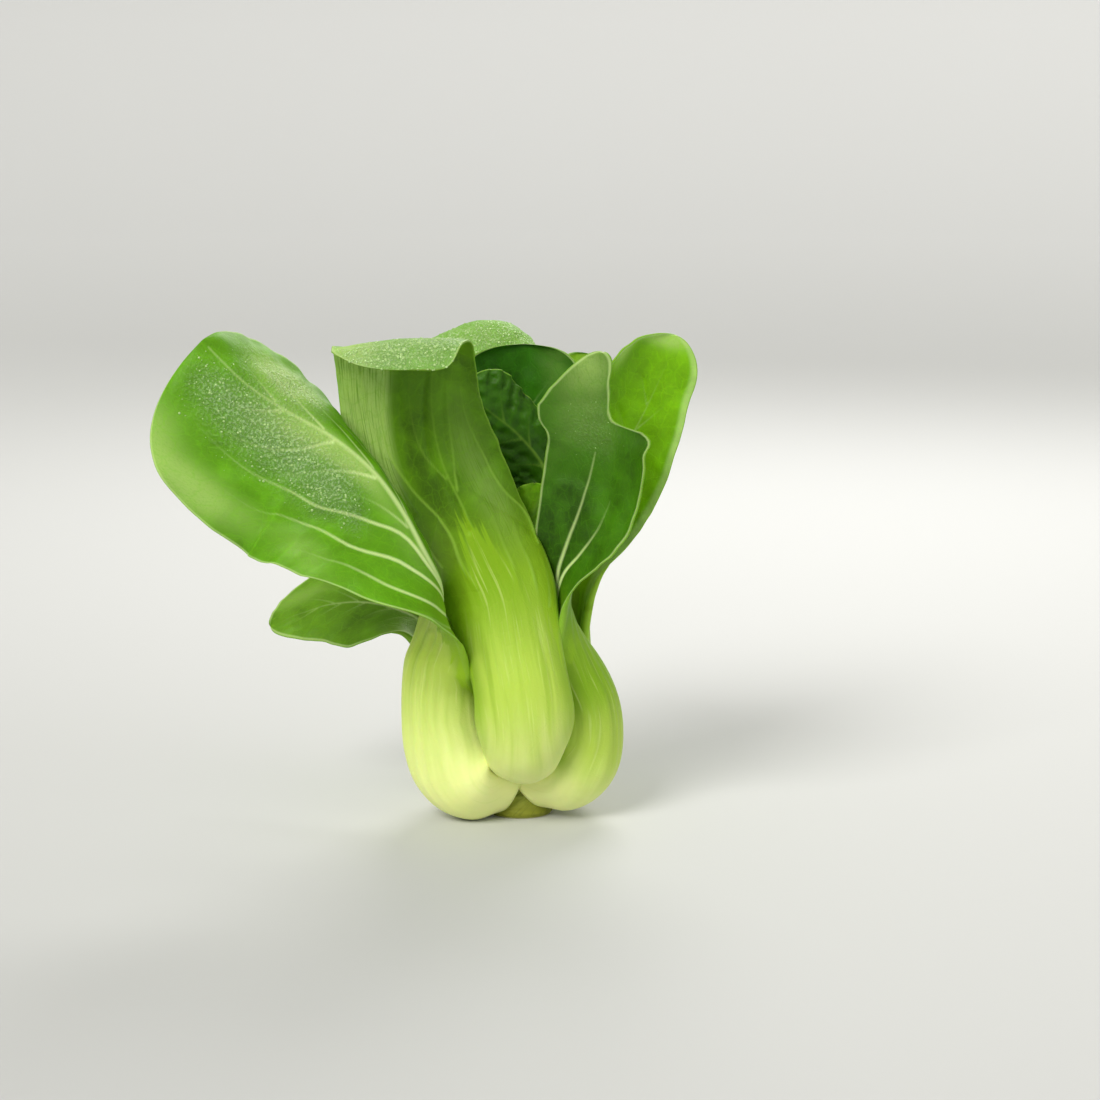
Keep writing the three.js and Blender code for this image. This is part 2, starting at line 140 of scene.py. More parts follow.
# %% [markdown]
# ## Shader arithmetic
# A leaf's colour depends on where a point lies: on the stalk or the blade, on a vein or between two. Such
# rules are easiest to read as plain arithmetic. `Link` wraps one output socket of a material's node tree,
# and its operators add Math nodes, so `1 - mask` builds a node and gives back a `Link`. `Paint` makes any
# other node from its type, its settings, which are set first, and the values or links of its sockets.

# %% A link that takes part in arithmetic
class Link:
    """An output socket of a material that takes part in ordinary arithmetic."""

    def __init__(self, paint, socket):
        self.paint = paint
        self.socket = socket

    def math(self, operation, *others):
        """A Math node with this link as its first value."""
        inputs = dict(enumerate((self, *others)))
        return self.paint.node("ShaderNodeMath", {"operation": operation}, inputs)

    def __add__(self, other):
        return self.math("ADD", other)

    def __sub__(self, other):
        return self.math("SUBTRACT", other)

    def __mul__(self, other):
        return self.math("MULTIPLY", other)

    def __pow__(self, other):
        return self.math("POWER", other)

    def __rsub__(self, other):
        inputs = {0: other, 1: self}
        return self.paint.node("ShaderNodeMath", {"operation": "SUBTRACT"}, inputs)

    __radd__ = __add__
    __rmul__ = __mul__

    def between(self, low, high):
        """0 below low and 1 above high, with a smooth rise between. low may be the larger one."""
        settings = {"interpolation_type": "SMOOTHSTEP"}
        inputs = {"Value": self, "From Min": low, "From Max": high}
        return self.paint.node("ShaderNodeMapRange", settings, inputs)


# %% A material that is built node by node
class Paint:
    """A material that is built node by node."""

    def __init__(self, name):
        self.material = bpy.data.materials.new(name)
        self.material.use_nodes = True
        self.tree = self.material.node_tree
        self.tree.nodes.clear()

    def node(self, kind, settings=None, inputs=None, output=0):
        """Adds a node, fills its inputs by number or name, and returns one of its outputs."""
        node = self.tree.nodes.new(kind)
        for key, value in (settings or {}).items():
            setattr(node, key, value)
        for key, value in (inputs or {}).items():
            if isinstance(key, int):
                socket = node.inputs[key]
            else:
                socket = next(s for s in node.inputs if s.enabled and key in (s.identifier, s.name))
            if isinstance(value, Link):
                self.tree.links.new(value.socket, socket)
            else:
                socket.default_value = value
        return Link(self, node.outputs[output]) if node.outputs else node

    def parts(self, name):
        """The three numbers of a vector attribute."""
        vector = self.node("ShaderNodeAttribute", {"attribute_name": name}, output=1)
        split = self.node("ShaderNodeSeparateXYZ", {}, {0: vector}).socket.node
        return [Link(self, socket) for socket in split.outputs]

    def number(self, name):
        """A number attribute."""
        return self.node("ShaderNodeAttribute", {"attribute_name": name}, output=2)

    def vector(self, x, y, z):
        """A vector from three numbers or links."""
        return self.node("ShaderNodeCombineXYZ", {}, {0: x, 1: y, 2: z})

    def noise(self, vector, scale, detail=2):
        """Smooth unevenness about a half, with scale lumps to a unit of the vector."""
        inputs = {"Vector": vector, "Scale": scale, "Detail": detail}
        return self.node("ShaderNodeTexNoise", {}, inputs)

    def cracks(self, vector, scale):
        """Distance to the nearest edge of a cell, in cells."""
        inputs = {"Vector": vector, "Scale": scale}
        return self.node("ShaderNodeTexVoronoi", {"feature": "DISTANCE_TO_EDGE"}, inputs)

    def spots(self, vector, scale):
        """Distance to the middle of a cell, in cells."""
        return self.node("ShaderNodeTexVoronoi", {"feature": "F1"}, {"Vector": vector, "Scale": scale})

    def mix(self, first, second, share):
        """first where share is 0, second where it is 1. Colours are tuples of three or links."""
        inputs = {"Factor_Float": share}
        for key, colour in (("A_Color", first), ("B_Color", second)):
            inputs[key] = colour if isinstance(colour, Link) else (*colour, 1)
        return self.node("ShaderNodeMix", {"data_type": "RGBA"}, inputs, output=2)

    def finish(self, **inputs):
        """Ends the material in a Principled shader with these inputs, and returns it."""
        named = {key.replace("_", " "): value for key, value in inputs.items()}
        shader = self.node("ShaderNodeBsdfPrincipled", {}, named)
        self.node("ShaderNodeOutputMaterial", {}, {"Surface": shader})
        return self.material


print("shader helpers ready")

# %% [markdown]
# ## How a leaf is drawn
# A leaf is a sheet round a curve. The curve is the outer face of its midrib, from the butt to the tip, and
# each station also says how wide the two halves are, how far the sheet is turned about the midrib, and how
# far each half bends inwards by its margin. The clockwise half comes first in every pair, as seen from
# above. Apart from a few half widths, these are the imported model's own driving dimensions, so the fine
# leaves lie where the plain ones do.

# %% Outer leaves
BLADE = 0.7  # thickness of the thin blade
STALK_EDGE = 1.6  # thickness of a stalk's margin
WRAP_LENGTH = 24  # length of stalk over which its foot hugs the butt

# azimuth: the way the stalk's back faces. neck: length of the stalk. thick: at its midline.
# tip: length of the rounded end and how square it is. rise: how far the margins run ahead of the midrib.
# wrap: how far they fall behind it at the butt. curl: power of the bend towards the margin.
# wave: height, number and phase of the margin's waves.
# rows: x, y, z, two half widths, turn, two bends in degrees.
OUTER_LEAVES = {
    "leaf_front": dict(
        azimuth=-90, neck=88, thick=8, tip=(20, 3),
        rise=(4, -9), wrap=(1, 1), curl=(1, 1), wave=(1.2, 2.5, 0.6),
        rows=[
            (0.5, -6.6, 18.5, 5, 5, 0, 10, 10),
            (1, -15, 15.4, 8, 8, 0, 20, 20),
            (1.6, -24, 15.7, 9.5, 8, 0, 26, 28),
            (2, -32.5, 22.5, 11, 9, 0, 32, 36),
            (1.9, -37, 36, 14.5, 14.5, 0, 35, 35),
            (0.5, -37, 51, 13.6, 14.3, 0, 40, 38),
            (-2.5, -33, 67, 16, 15.2, 0, 49, 40),
            (-5.3, -30, 81, 20, 17, 0, 48, 45),
            (-11.6, -28.5, 94.5, 24, 20, 0, 52, 50),
            (-18.5, -28.5, 110.6, 31, 21, 0, 54, 52),
            (-25.3, -29, 126, 33, 20, 0, 44, 50),
            (-28.3, -31, 141.7, 32, 19, 0, 28, 45),
            (-28.1, -35.5, 156, 32, 17, 0, 14, 40),
            (-27, -42, 165, 33, 14, 0, -5, 20),
            (-26.5, -50, 168, 33, 12, 0, -12, 0),
            (-26.5, -57, 165.5, 32, 10, 0, -12, 0),
            (-26.5, -60.5, 159.5, 31, 10, 0, -12, 0),
        ],
    ),
    "leaf_left": dict(
        azimuth=-150, neck=84, thick=8, tip=(26, 2.3),
        rise=(6, 0), wrap=(3, 6.5), curl=(0.35, 1), wave=(1, 2, 0),
        rows=[
            (-10.4, -6, 1, 7, 13.8, 0, 10, 95),
            (-17, -9.5, 0, 11, 18.6, 0, 25, 90),
            (-26.5, -13, 3.5, 13, 20.5, 0, 38, 84),
            (-34, -14.5, 12, 13, 21.5, 0, 48, 88),
            (-38, -14, 24, 13.5, 22.5, 0, 50, 104),
            (-39, -13, 36, 14, 23.5, 0, 50, 99),
            (-38.5, -14, 49, 15, 21, 0, 45, 90),
            (-37, -16.5, 57, 15, 18.8, 0, 40, 78),
            (-34, -18.5, 64, 15, 18.6, 0, 30, 56),
            (-29.8, -26.5, 75, 8, 14.5, -18, 0, 40),
            (-28.3, -36, 86, 7, 18, -45, -40, 8),
            (-31.5, -40, 97, 7, 27, -80, -75, -17),
            (-38.5, -42, 112, 9, 39, -90, -85, -25),
            (-48.5, -43, 126, 14, 45, -90, -85, -30),
            (-61, -43, 136.4, 21, 48, -90, -80, -30),
            (-75, -42, 144.4, 24.5, 46, -90, -70, -30),
            (-88.5, -41, 153.4, 24, 42, -90, -60, -30),
            (-102, -40, 167, 21, 34, -90, -50, -30),
        ],
    ),
    "leaf_right": dict(
        azimuth=-28, neck=84, thick=7.5, tip=(22, 2.2),
        rise=(4, 4), wrap=(6.5, 2), curl=(1, 1), wave=(1, 2, 1),
        rows=[
            (10.6, -5.6, 3, 12, 6, 0, 80, 10),
            (17.5, -9, 3, 15, 11, 0, 82, 22),
            (25.5, -12, 7.5, 13.6, 12, 0, 84, 30),
            (31.2, -13.5, 16, 13.4, 13, 0, 92, 35),
            (33, -12, 28, 19, 13.8, 0, 90, 40),
            (31.7, -11, 42, 20, 11.7, 0, 92, 40),
            (26.5, -11, 54, 16, 12, 0, 80, 52),
            (20.5, -12, 66, 10, 9, 20, 55, 45),
            (16, -13, 77, 9, 8, 50, 30, 30),
            (15, -15, 87, 13, 9, 75, 30, 30),
            (17.5, -17, 98, 19, 12, 85, 35, 30),
            (21, -19, 109, 22, 14.5, 90, 35, 30),
            (24, -20, 120, 22.5, 16, 92, 35, 30),
            (26, -22, 130, 21, 17.5, 92, 28, 30),
            (26.4, -22.7, 133.6, 19, 19.8, 92, 25, 29),
            (26.6, -23.2, 136.8, 6, 21, 92, 8, 28),
            (26.7, -23.4, 138.8, 4, 21, 92, 6, 27),
            (27, -24, 142.5, 3.3, 19.3, 92, 5, 24),
            (27, -25, 149, 3.2, 15, 92, 5, 20),
            (27, -26, 155, 4, 11, 92, 8, 20),
            (27.5, -27, 162, 5, 8, 92, 10, 20),
        ],
    ),
    "leaf_right_back": dict(
        azimuth=35, neck=84, thick=7, tip=(16, 2),
        rise=(0, 0), wrap=(1, 1), curl=(1, 2.5), wave=(1, 2, 2),
        rows=[
            (9.6, 6.7, 8, 6, 6, 0, 15, 15),
            (16, 11.5, 5.5, 8, 8, 0, 25, 25),
            (22.5, 15, 11, 9.5, 11, 0, 42, 60),
            (24.5, 16.5, 24, 10, 12.5, 0, 58, 84),
            (24.5, 17, 38, 9.7, 12.5, 0, 60, 88),
            (22, 16.4, 54, 8.9, 9.5, 0, 48, 64),
            (19.5, 15.5, 69, 9, 8, 15, 38, 40),
            (19, 14, 84, 11, 7, 35, 30, 30),
            (23, 12, 98, 16, 9, 50, 30, 30),
            (28, 10, 111, 18, 13, 58, 30, 35),
            (34.5, 8, 124, 18, 18, 60, 26, 50),
            (41, 6, 136, 15, 22, 60, 22, 70),
            (46, 4, 147, 12, 22, 60, 16, 80),
            (50, 2, 156.5, 11.5, 20, 60, 10, 80),
            (53, 1, 164.5, 10, 18, 60, 10, 70),
        ],
    ),
    "leaf_back": dict(
        azimuth=90, neck=86, thick=7.5, tip=(26, 2),
        rise=(0, 0), wrap=(1, 1), curl=(1, 1), wave=(1, 2, 2),
        rows=[
            (0, 12.1, 3.5, 6, 6, 0, 10, 10),
            (0, 20, 0, 9, 9, 0, 20, 20),
            (0, 30, 3.5, 13, 13, 0, 36, 36),
            (0, 37, 14, 16, 15.7, 0, 42, 41),
            (0, 39, 28, 18, 18, 0, 46, 46),
            (0, 38, 44, 17.5, 17.5, 0, 46, 46),
            (-1, 35, 60, 15.5, 15.5, 0, 44, 44),
            (-2, 32, 76, 14, 14, 0, 40, 40),
            (-5, 32, 92, 15, 18, 0, 38, 38),
            (-8, 32, 108, 18, 22, 0, 34, 34),
            (-10, 33, 124, 21, 25, 0, 25, 25),
            (-12, 35, 140, 23, 26, 0, 5, 5),
            (-12, 38, 152, 23, 26, 0, -20, -20),
            (-12, 43, 160, 22, 25, 0, -35, -35),
            (-11, 50, 164, 21, 24, 0, -40, -40),
            (-11, 60, 162, 20, 23, 0, -40, -40),
        ],
    ),
    "leaf_back_left": dict(
        azimuth=145, neck=66, thick=7, tip=(16, 1.7),
        rise=(4, 4), wrap=(1, 1), curl=(1, 1), wave=(1, 1.5, 0),
        rows=[
            (-9.6, 6.7, 8, 6, 6, 0, 15, 15),
            (-16, 11.5, 5.5, 7.5, 8, 0, 25, 25),
            (-24, 17, 11, 10, 10, 0, 60, 42),
            (-28, 19.3, 24, 12.3, 11, 0, 84, 56),
            (-29, 19.3, 38, 12.3, 11, 0, 88, 56),
            (-31, 20.5, 51, 10.5, 11, -5, 60, 48),
            (-36, 22, 60, 9, 10, -15, 25, 25),
            (-45, 25, 65, 14, 16, -30, 15, 5),
            (-56, 28, 67, 18, 19, -40, 10, -10),
            (-67, 30, 66, 18, 15, -45, 5, -15),
            (-78, 31, 62.5, 14, 10, -45, 0, -20),
            (-88, 31, 58, 9, 7, -45, 0, -20),
        ],
    ),
}
print("outer leaves:", len(OUTER_LEAVES))

# %% Inner leaves and heart
INNER_LEAVES = {
    "leaf_inner_right": dict(
        azimuth=50, neck=84, thick=5, tip=(16, 2.2),
        rise=(4, 4), wrap=(0, 0), curl=(1, 1), wave=(1, 1.5, 1),
        rows=[
            (6.2, 6.4, 15, 3.5, 3.5, 0, 10, 10),
            (8, 10.5, 20, 4, 4, 0, 25, 25),
            (8.3, 13, 36, 4, 3.5, 0, 40, 40),
            (7, 15, 52, 4, 3.5, 0, 40, 40),
            (5.5, 19, 68, 4.5, 3.5, 0, 35, 35),
            (6, 22, 84, 6, 6, 0, 35, 35),
            (10, 23, 100, 9, 9, 10, 35, 35),
            (15, 24, 118, 13, 13, 20, 35, 35),
            (18.5, 25, 134, 13, 12, 25, 30, 30),
            (20.5, 26, 147, 11, 10, 30, 20, 20),
            (21.5, 27, 156, 9, 8, 30, 10, 10),
        ],
    ),
    "leaf_inner_back": dict(
        azimuth=128, neck=80, thick=5, tip=(18, 2.6),
        rise=(4, 4), wrap=(0, 0), curl=(1, 1), wave=(1, 1.5, 1),
        rows=[
            (-4.2, 6.4, 16, 3.5, 3.5, 0, 10, 10),
            (-7, 11, 20, 5, 5, 0, 25, 25),
            (-8.5, 14, 34, 5, 5, 0, 42, 42),
            (-9, 15, 52, 5, 5, 0, 42, 42),
            (-8.5, 16, 68, 5.5, 6, -10, 38, 38),
            (-6, 16.5, 84, 9, 10, -25, 42, 42),
            (-3, 17, 100, 15, 16, -35, 46, 46),
            (-1, 18, 116, 20, 21, -38, 50, 50),
            (1, 18, 132, 22, 23, -38, 50, 50),
            (1, 18, 148, 22, 23, -38, 46, 46),
            (1, 18, 160, 21, 21, -38, 40, 40),
        ],
    ),
    "leaf_heart_right": dict(
        azimuth=-5, neck=84, thick=5, tip=(18, 2.2),
        rise=(4, 4), wrap=(0, 0), curl=(1, 1), wave=(1.2, 2.5, 1),
        rows=[
            (9.4, -0.9, 13.5, 3.5, 2.5, 0, 10, 10),
            (12.5, -1.6, 17, 5, 3, 0, 25, 25),
            (15, -2, 32, 6, 4.5, 0, 42, 40),
            (14, -1, 50, 6, 4.5, 0, 42, 40),
            (11, 1, 68, 5, 4.5, -10, 38, 38),
            (9.5, 1, 86, 6, 4.5, -30, 30, 30),
            (9.5, 0, 104, 9, 5, -60, 25, 25),
            (8, -2, 120, 15, 7, -75, 20, 20),
            (-0.5, -4, 131.5, 18, 12, -80, 20, 20),
            (-11.5, -7, 141, 17, 14, -80, 20, 20),
            (-19, -9, 148, 15, 14, -80, 20, 20),
        ],
    ),
    "leaf_heart_left": dict(
        azimuth=185, neck=70, thick=4.5, tip=(14, 2.2),
        rise=(3, 3), wrap=(0, 0), curl=(1, 1), wave=(1, 2.5, 0),
        rows=[
            (-7.8, -0.6, 18.5, 3, 3, 0, 10, 10),
            (-10.5, -1, 24, 4, 4, 0, 30, 30),
            (-12.5, -2, 40, 4.5, 4, 0, 40, 40),
            (-13, -3, 58, 4.5, 4, 0, 40, 40),
            (-14, -4, 74, 6, 6, 0, 40, 40),
            (-17, -4, 90, 8, 10, 0, 35, 35),
            (-20, -4, 104, 9, 12, 0, 35, 35),
            (-22, -4, 115, 9, 11, 0, 30, 30),
            (-22, -3, 124, 8, 9, 0, 25, 25),
        ],
    ),
    "leaf_heart_front": dict(
        azimuth=-120, neck=60, thick=4, tip=(12, 2.2),
        rise=(3, 3), wrap=(0, 0), curl=(1, 1), wave=(0.8, 2, 0),
        rows=[
            (-2.8, -5, 23, 2, 2, 0, 10, 10),
            (-3, -7, 27, 3, 3, 0, 30, 30),
            (-2.5, -9, 42, 3.5, 3.5, 0, 40, 40),
            (-1.5, -9.5, 58, 3.5, 3.5, 10, 40, 40),
            (0, -9, 72, 4.5, 4.5, 20, 40, 40),
            (1.5, -8, 86, 6.5, 6.5, 30, 40, 40),
            (3, -9, 99, 8, 8, 40, 40, 40),
            (5.5, -11.5, 116, 6, 6, 50, 30, 30),
        ],
    ),
}
LEAVES = OUTER_LEAVES | INNER_LEAVES
stations = sum(len(leaf["rows"]) for leaf in LEAVES.values())
print("all leaves:", len(LEAVES), "with", stations, "stations")

# %% [markdown]
# ## A smooth curve through the stations
# `Loft` joins the stations with cubic pieces that share a slope where they meet. It works on whole arrays
# of distances at once, which is what lets a leaf have tens of thousands of points and still take no time.

# %% Loft
def ease(value):
    """A smooth step from 0 to 1."""
    held = np.clip(value, 0, 1)
    return held * held * (3 - 2 * held)


class Loft:
    """A smooth curve through a table's rows, by distance along its first three columns."""

    def __init__(self, rows):
        self.rows = np.array(rows, float)
        steps = np.linalg.norm(np.diff(self.rows[:, :3], axis=0), axis=1)
        self.at = np.concatenate([[0], np.cumsum(steps)])
        self.length = float(self.at[-1])
        rate = np.diff(self.rows, axis=0) / steps[:, None]
        before, after = steps[:-1, None], steps[1:, None]
        inside = (rate[:-1] * after + rate[1:] * before) / (before + after)
        self.slopes = np.vstack([rate[:1], inside, rate[-1:]])

    def sample(self, distance):
        """Every column, and the direction of travel, at an array of distances."""
        held = np.clip(distance, 0, self.length)
        i = np.clip(np.searchsorted(self.at, held, side="right") - 1, 0, len(self.rows) - 2)
        span = (self.at[i + 1] - self.at[i])[..., None]
        f = (held - self.at[i])[..., None] / span
        p, q, m, n = self.rows[i], self.rows[i + 1], self.slopes[i], self.slopes[i + 1]
        # The cubic between two rows, from their values and slopes, and its rate of change.
        row = p * (2 * f**3 - 3 * f**2 + 1) + q * (3 * f**2 - 2 * f**3)
        row += span * (m * (f**3 - 2 * f**2 + f) + n * (f**3 - f**2))
        travel = (q - p) / span * (6 * f - 6 * f**2) + m * (3 * f**2 - 4 * f + 1) + n * (3 * f**2 - 2 * f)
        travel = travel[..., :3]
        row[..., :3] += (distance - held)[..., None] * travel
        return row, travel / np.linalg.norm(travel, axis=-1, keepdims=True)


LOFTS = {name: Loft(leaf["rows"]) for name, leaf in LEAVES.items()}
print("leaves, mm along the midrib:", {name: round(loft.length) for name, loft in LOFTS.items()})

# %% [markdown]
# ## Veins
# Veins are drawn on the flat leaf, before it is bent: each is a few points, in millimetres along the leaf
# and out from its midrib, with a width at either end. The leaves that face the viewer have theirs placed one
# by one. The others follow the plant's rule: pairs of side veins leave the midrib at a narrow angle, sweep
# forward, and spread towards the margin.

# %% Veins that are placed one by one
# Each is (width at its start, width at its end, [(along, out from the midrib), ...]). Out is positive on the
# counterclockwise half.
PLACED_VEINS = {
    "leaf_front": [
        (1.3, 0.7, [
            (96, -6), (105, -7.2), (115, -7), (124, -9.5), (134, -13), (146, -17), (160, -15.5), (176, -15),
        ]),
        (0.9, 0.5, [
            (100, 18), (108, 19.8), (114, 19), (120, 15.8), (126, 14), (136, 13.5), (157, 10.4), (170, 9),
        ]),
        (0.8, 0.4, [(106, -14), (116, -19), (130, -21), (150, -22), (174, -22)]),
        (0.7, 0.4, [(112, -22), (126, -26), (145, -27), (172, -27)]),
        (1.0, 0.3, [(88, 9.5), (96, 11), (103, 11.5), (112, 13.5)]),
        (1.0, 0.3, [(84, 13), (91, 15), (97, 16.5)]),
        (1.0, 0.3, [(90, 5), (99, 6.2), (108, 6.6), (118, 8)]),
        (0.5, 0.3, [(128, 0.8), (140, 4), (155, 5), (168, 4.5)]),
        (0.5, 0.3, [(133, -0.8), (142, -5), (156, -7), (172, -8)]),
    ],
    "leaf_left": [
        (1.5, 0.6, [
            (110, 1), (119, 1.4), (133, 3.5), (146, 12), (162, 20.5), (176, 22), (197, 22.5), (209, 20),
        ]),
        (1.3, 0.5, [
            (104, 1.5), (111, 3), (127, 9), (138, 19), (155, 26), (172, 30), (186, 33), (198, 32),
        ]),
        (1.1, 0.4, [(98, 2), (108, 8), (122, 16.5), (132, 23), (146, 32), (158, 38)]),
        (0.8, 0.3, [(92, 3), (102, 9), (114, 18), (124, 26)]),
        (0.8, 0.3, [(155, 1), (161, 4.5), (169, 10), (180, 17.5), (188, 20)]),
        (0.8, 0.35, [(173, 1), (178, 6), (185, 11), (195, 15), (207, 16), (216, 14)]),
        (0.5, 0.3, [(136, 1.5), (146, 5), (158, 11), (166, 15)]),
        (0.6, 0.3, [(192, 0.5), (199, 5), (208, 8), (217, 8)]),
        (0.6, 0.3, [(140, -1), (150, -4), (162, -7), (176, -11), (190, -16)]),
        (0.6, 0.3, [(158, -1), (168, -4), (180, -9), (192, -14), (202, -16)]),
        (0.6, 0.3, [(178, -1), (187, -5), (198, -10), (210, -13)]),
        (0.5, 0.3, [(196, -1), (204, -4), (213, -7)]),
    ],
    "leaf_right": [
        (1.1, 0.6, [(95, -0.6), (102, -2.2), (113, -6.8), (122, -9), (132, -10)]),
    ],
}
print("placed veins:", {name: len(veins) for name, veins in PLACED_VEINS.items()})


# %% Veins that follow the rule
VEIN_ZONE = (-0.04, 0.78)  # where side veins start to leave the midrib, and over what share of the blade
VEIN_JITTER = 0.8  # how far one may leave it later than its turn, in steps
VEIN_STOPS = (0.02, 0.2, 0.42, 0.66, 0.9)  # shares of the half width at which a vein has its points
VEIN_SWEEP = 0.8  # power that bends a vein forward; below 1 it leaves the midrib slowly
TAPER_PER_PAIR = 0.15  # how much finer the veins start towards the tip, all in all
THIN_END = 0.3  # width of a vein by the margin, as a share of its width at the midrib


def side_veins(name, pairs, run, width):
    """Pairs of veins of this width that leave the midrib of a leaf.

    Each reaches run millimetres forward by the margin."""
    leaf, loft = LEAVES[name], LOFTS[name]
    tip, square = leaf["tip"]
    draw = np.random.default_rng(len(name) * 31 + pairs)
    veins = []
    for k in range(2 * pairs):
        half = (-1, 1)[k % 2]
        share = VEIN_ZONE[1] * (k + draw.uniform(0, VEIN_JITTER)) / (2 * pairs) + VEIN_ZONE[0]
        start = leaf["neck"] + (loft.length - leaf["neck"]) * share
        points = []
        for reach in VEIN_STOPS:
            along = start + run * reach**VEIN_SWEEP
            tip_share = np.clip((along - loft.length + tip) / tip, 0, 0.96)
            half_width = loft.sample(np.array(along))[0][3 if half < 0 else 4]
            half_width *= (1 - tip_share**square) ** (1 / square)
            points.append((along, half * reach * half_width))
        veins.append((width * (1 - TAPER_PER_PAIR * k / pairs), THIN_END * width, points))
    return veins


RULED_VEINS = {
    # leaf: pairs of side veins, how far forward they sweep, and how wide they start
    "leaf_right_back": (5, 26, 0.3),
    "leaf_back": (7, 34, 1.0),
    "leaf_back_left": (5, 22, 0.35),
    "leaf_inner_right": (6, 24, 0.8),
    "leaf_inner_back": (4, 26, 0.4),
    "leaf_heart_right": (4, 11, 0.5),
    "leaf_heart_left": (5, 14, 0.8),
    "leaf_heart_front": (4, 12, 0.8),
}
VEINS = PLACED_VEINS | {name: side_veins(name, *facts) for name, facts in RULED_VEINS.items()}
print("all veins:", sum(map(len, VEINS.values())))


# %% How strongly a point feels the veins
THINNEST_VEIN = 1.2  # reach of the finest crest that the grid can hold, in cells
CREST_REACH = 0.62  # reach of a crest, as a share of the vein's width
FAINTEST = 0.25  # strength at which a vein that is too fine for the grid starts
VEIN_FADE = 0.55  # how much weaker a vein is at its end
VALLEY_REACH = (1.2, 1.6)  # reach of the valley round a vein in mm, and what its width adds to that


def smooth_path(points, steps=4):
    """A finer path through given points."""
    table = Loft([(x, y, 0) for x, y in points])
    return table.sample(np.linspace(0, table.length, steps * (len(points) - 1) + 1))[0][:, :2]


def feel_veins(along, out, veins, cell):
    """Two masks: 1 on a vein's crest, and 1 in the wide valley round it.

    A vein finer than the grid's cell is drawn fainter instead, so that none looks dashed."""
    thinnest = THINNEST_VEIN * cell
    crest, valley = np.zeros_like(along), np.zeros_like(along)
    for first, last, points in veins:
        path = smooth_path(points)
        for k, (a, b) in enumerate(zip(path, path[1:])):
            span = b - a
            f = np.clip(((along - a[0]) * span[0] + (out - a[1]) * span[1]) / (span @ span), 0, 1)
            gap = np.hypot(along - a[0] - f * span[0], out - a[1] - f * span[1])
            share = (k + f) / (len(path) - 1)
            width = first + (last - first) * share
            fade = 1 - VEIN_FADE * share
            reach = np.maximum(CREST_REACH * width, thinnest)
            strength = fade * np.minimum(1, FAINTEST + CREST_REACH * width / thinnest)
            crest = np.maximum(crest, strength * np.exp(-((gap / reach) ** 2)))
            reach = VALLEY_REACH[0] + VALLEY_REACH[1] * width
            valley = np.maximum(valley, fade * np.exp(-((gap / reach) ** 2)))
    return crest, valley


felt = feel_veins(np.array(10.0), np.array(1.0), [(1, 1, [(0, 0), (20, 0)])], 0.7)
print("crest and valley, 1 mm off a vein 1 mm wide:", [round(float(mask), 2) for mask in felt])

# %% [markdown]
# ## Pleats, tones and wet patches
# Three more lists are given one by one. Pleats are soft grooves that run up a blade which has been squeezed
# while it grew. Tones make a leaf paler where it is waxy and where sheen and highlights are painted on it,
# and darker where shade is painted on it. Wet patches say where the dew lies. A tone or a patch is an oval
# with soft edges, on one face of the leaf.

# %% Pleats
PLEATS = {
    # leaf: (width, depth, [(along, out from the midrib), ...]) in mm
    "leaf_front": [
        (1.3, 0.9, [(114, -1.2), (128, -1.8), (144, -3.6), (159, -2.8), (176, -1)]),
        (0.9, 0.6, [(126, -16), (140, -17.5), (156, -18.5), (176, -19)]),
        (0.8, 0.6, [(134, -22.5), (146, -23.5), (160, -24), (176, -24.5)]),
        (1.0, 0.4, [(140, -9.5), (156, -10.5), (174, -11.5)]),
        (0.8, 0.3, [(136, -13), (150, -14), (172, -15)]),
        (0.9, 0.3, [(146, 3), (158, 3.6), (172, 4)]),
    ],
}
print("pleats:", sum(map(len, PLEATS.values())))

# %% Tones and wet patches
# Both hold (0 for the back of the leaf or 1 for its inner face, along, out, reach along, reach out,
# strength). A tone above 0 is paler: wax, painted sheen and painted highlights. A tone below 0 is darker:
# painted shade.
PAINTED_LIGHT_AND_WAX = {
    "leaf_front": [
        (0, 158, -26, 34, 10, 1.6), (0, 132, -25, 18, 7, 1.1), (0, 168, -17, 16, 3, 0.6),
        (0, 128, -7, 26, 5, -0.75), (0, 118, -18, 16, 4, -0.6), (0, 150, -9, 18, 4, -0.3),
        (0, 118, 11, 24, 7, 0.35), (0, 148, 8, 26, 6, 0.2), (0, 176, 0, 5, 40, -0.7),
        (1, 196, -14, 14, 24, 0.2), (1, 196, -30, 14, 9, 1.6),
    ],
    "leaf_left": [
        (1, 205, 38, 20, 8, 0.9), (1, 217, 28, 8, 8, 0.4), (1, 152, 34, 24, 8, 0.4),
        (1, 196, -12, 16, 8, 1.1), (1, 187, 4, 16, 7, 0.6), (1, 168, 3, 16, 4, 1.0), (1, 136, 3, 26, 5, 0.3),
        (1, 160, -8, 16, 4, -0.35), (1, 176, 26, 14, 5, -0.3), (1, 150, 22, 16, 4, -0.2),
    ],
    "leaf_right": [
        (1, 160, 7, 24, 14, 0.3), (1, 150, -6, 12, 10, 0.15), (1, 114, 5, 14, 10, -1.2),
        (1, 132, 0, 14, 8, -0.35), (1, 140, -12, 14, 5, -0.3), (1, 126, 13, 12, 3, 0.2),
        (1, 176, 6, 9, 12, 0.5),
    ],
    "leaf_right_back": [(1, 179, 5, 4, 10, 1.3), (1, 173, 17, 9, 3, 1.3)],
    "leaf_heart_right": [(1, 140, 0, 12, 8, 0.5)],
    "leaf_back_left": [(0, 108, -8, 20, 6, 0.9), (1, 113, -9, 14, 5, 0.4)],
    "leaf_back": [(1, 180, 0, 10, 24, 0.4)],
    "leaf_inner_back": [(1, 128, 8, 12, 8, -0.8), (1, 140, -12, 14, 8, 0.3)],
}
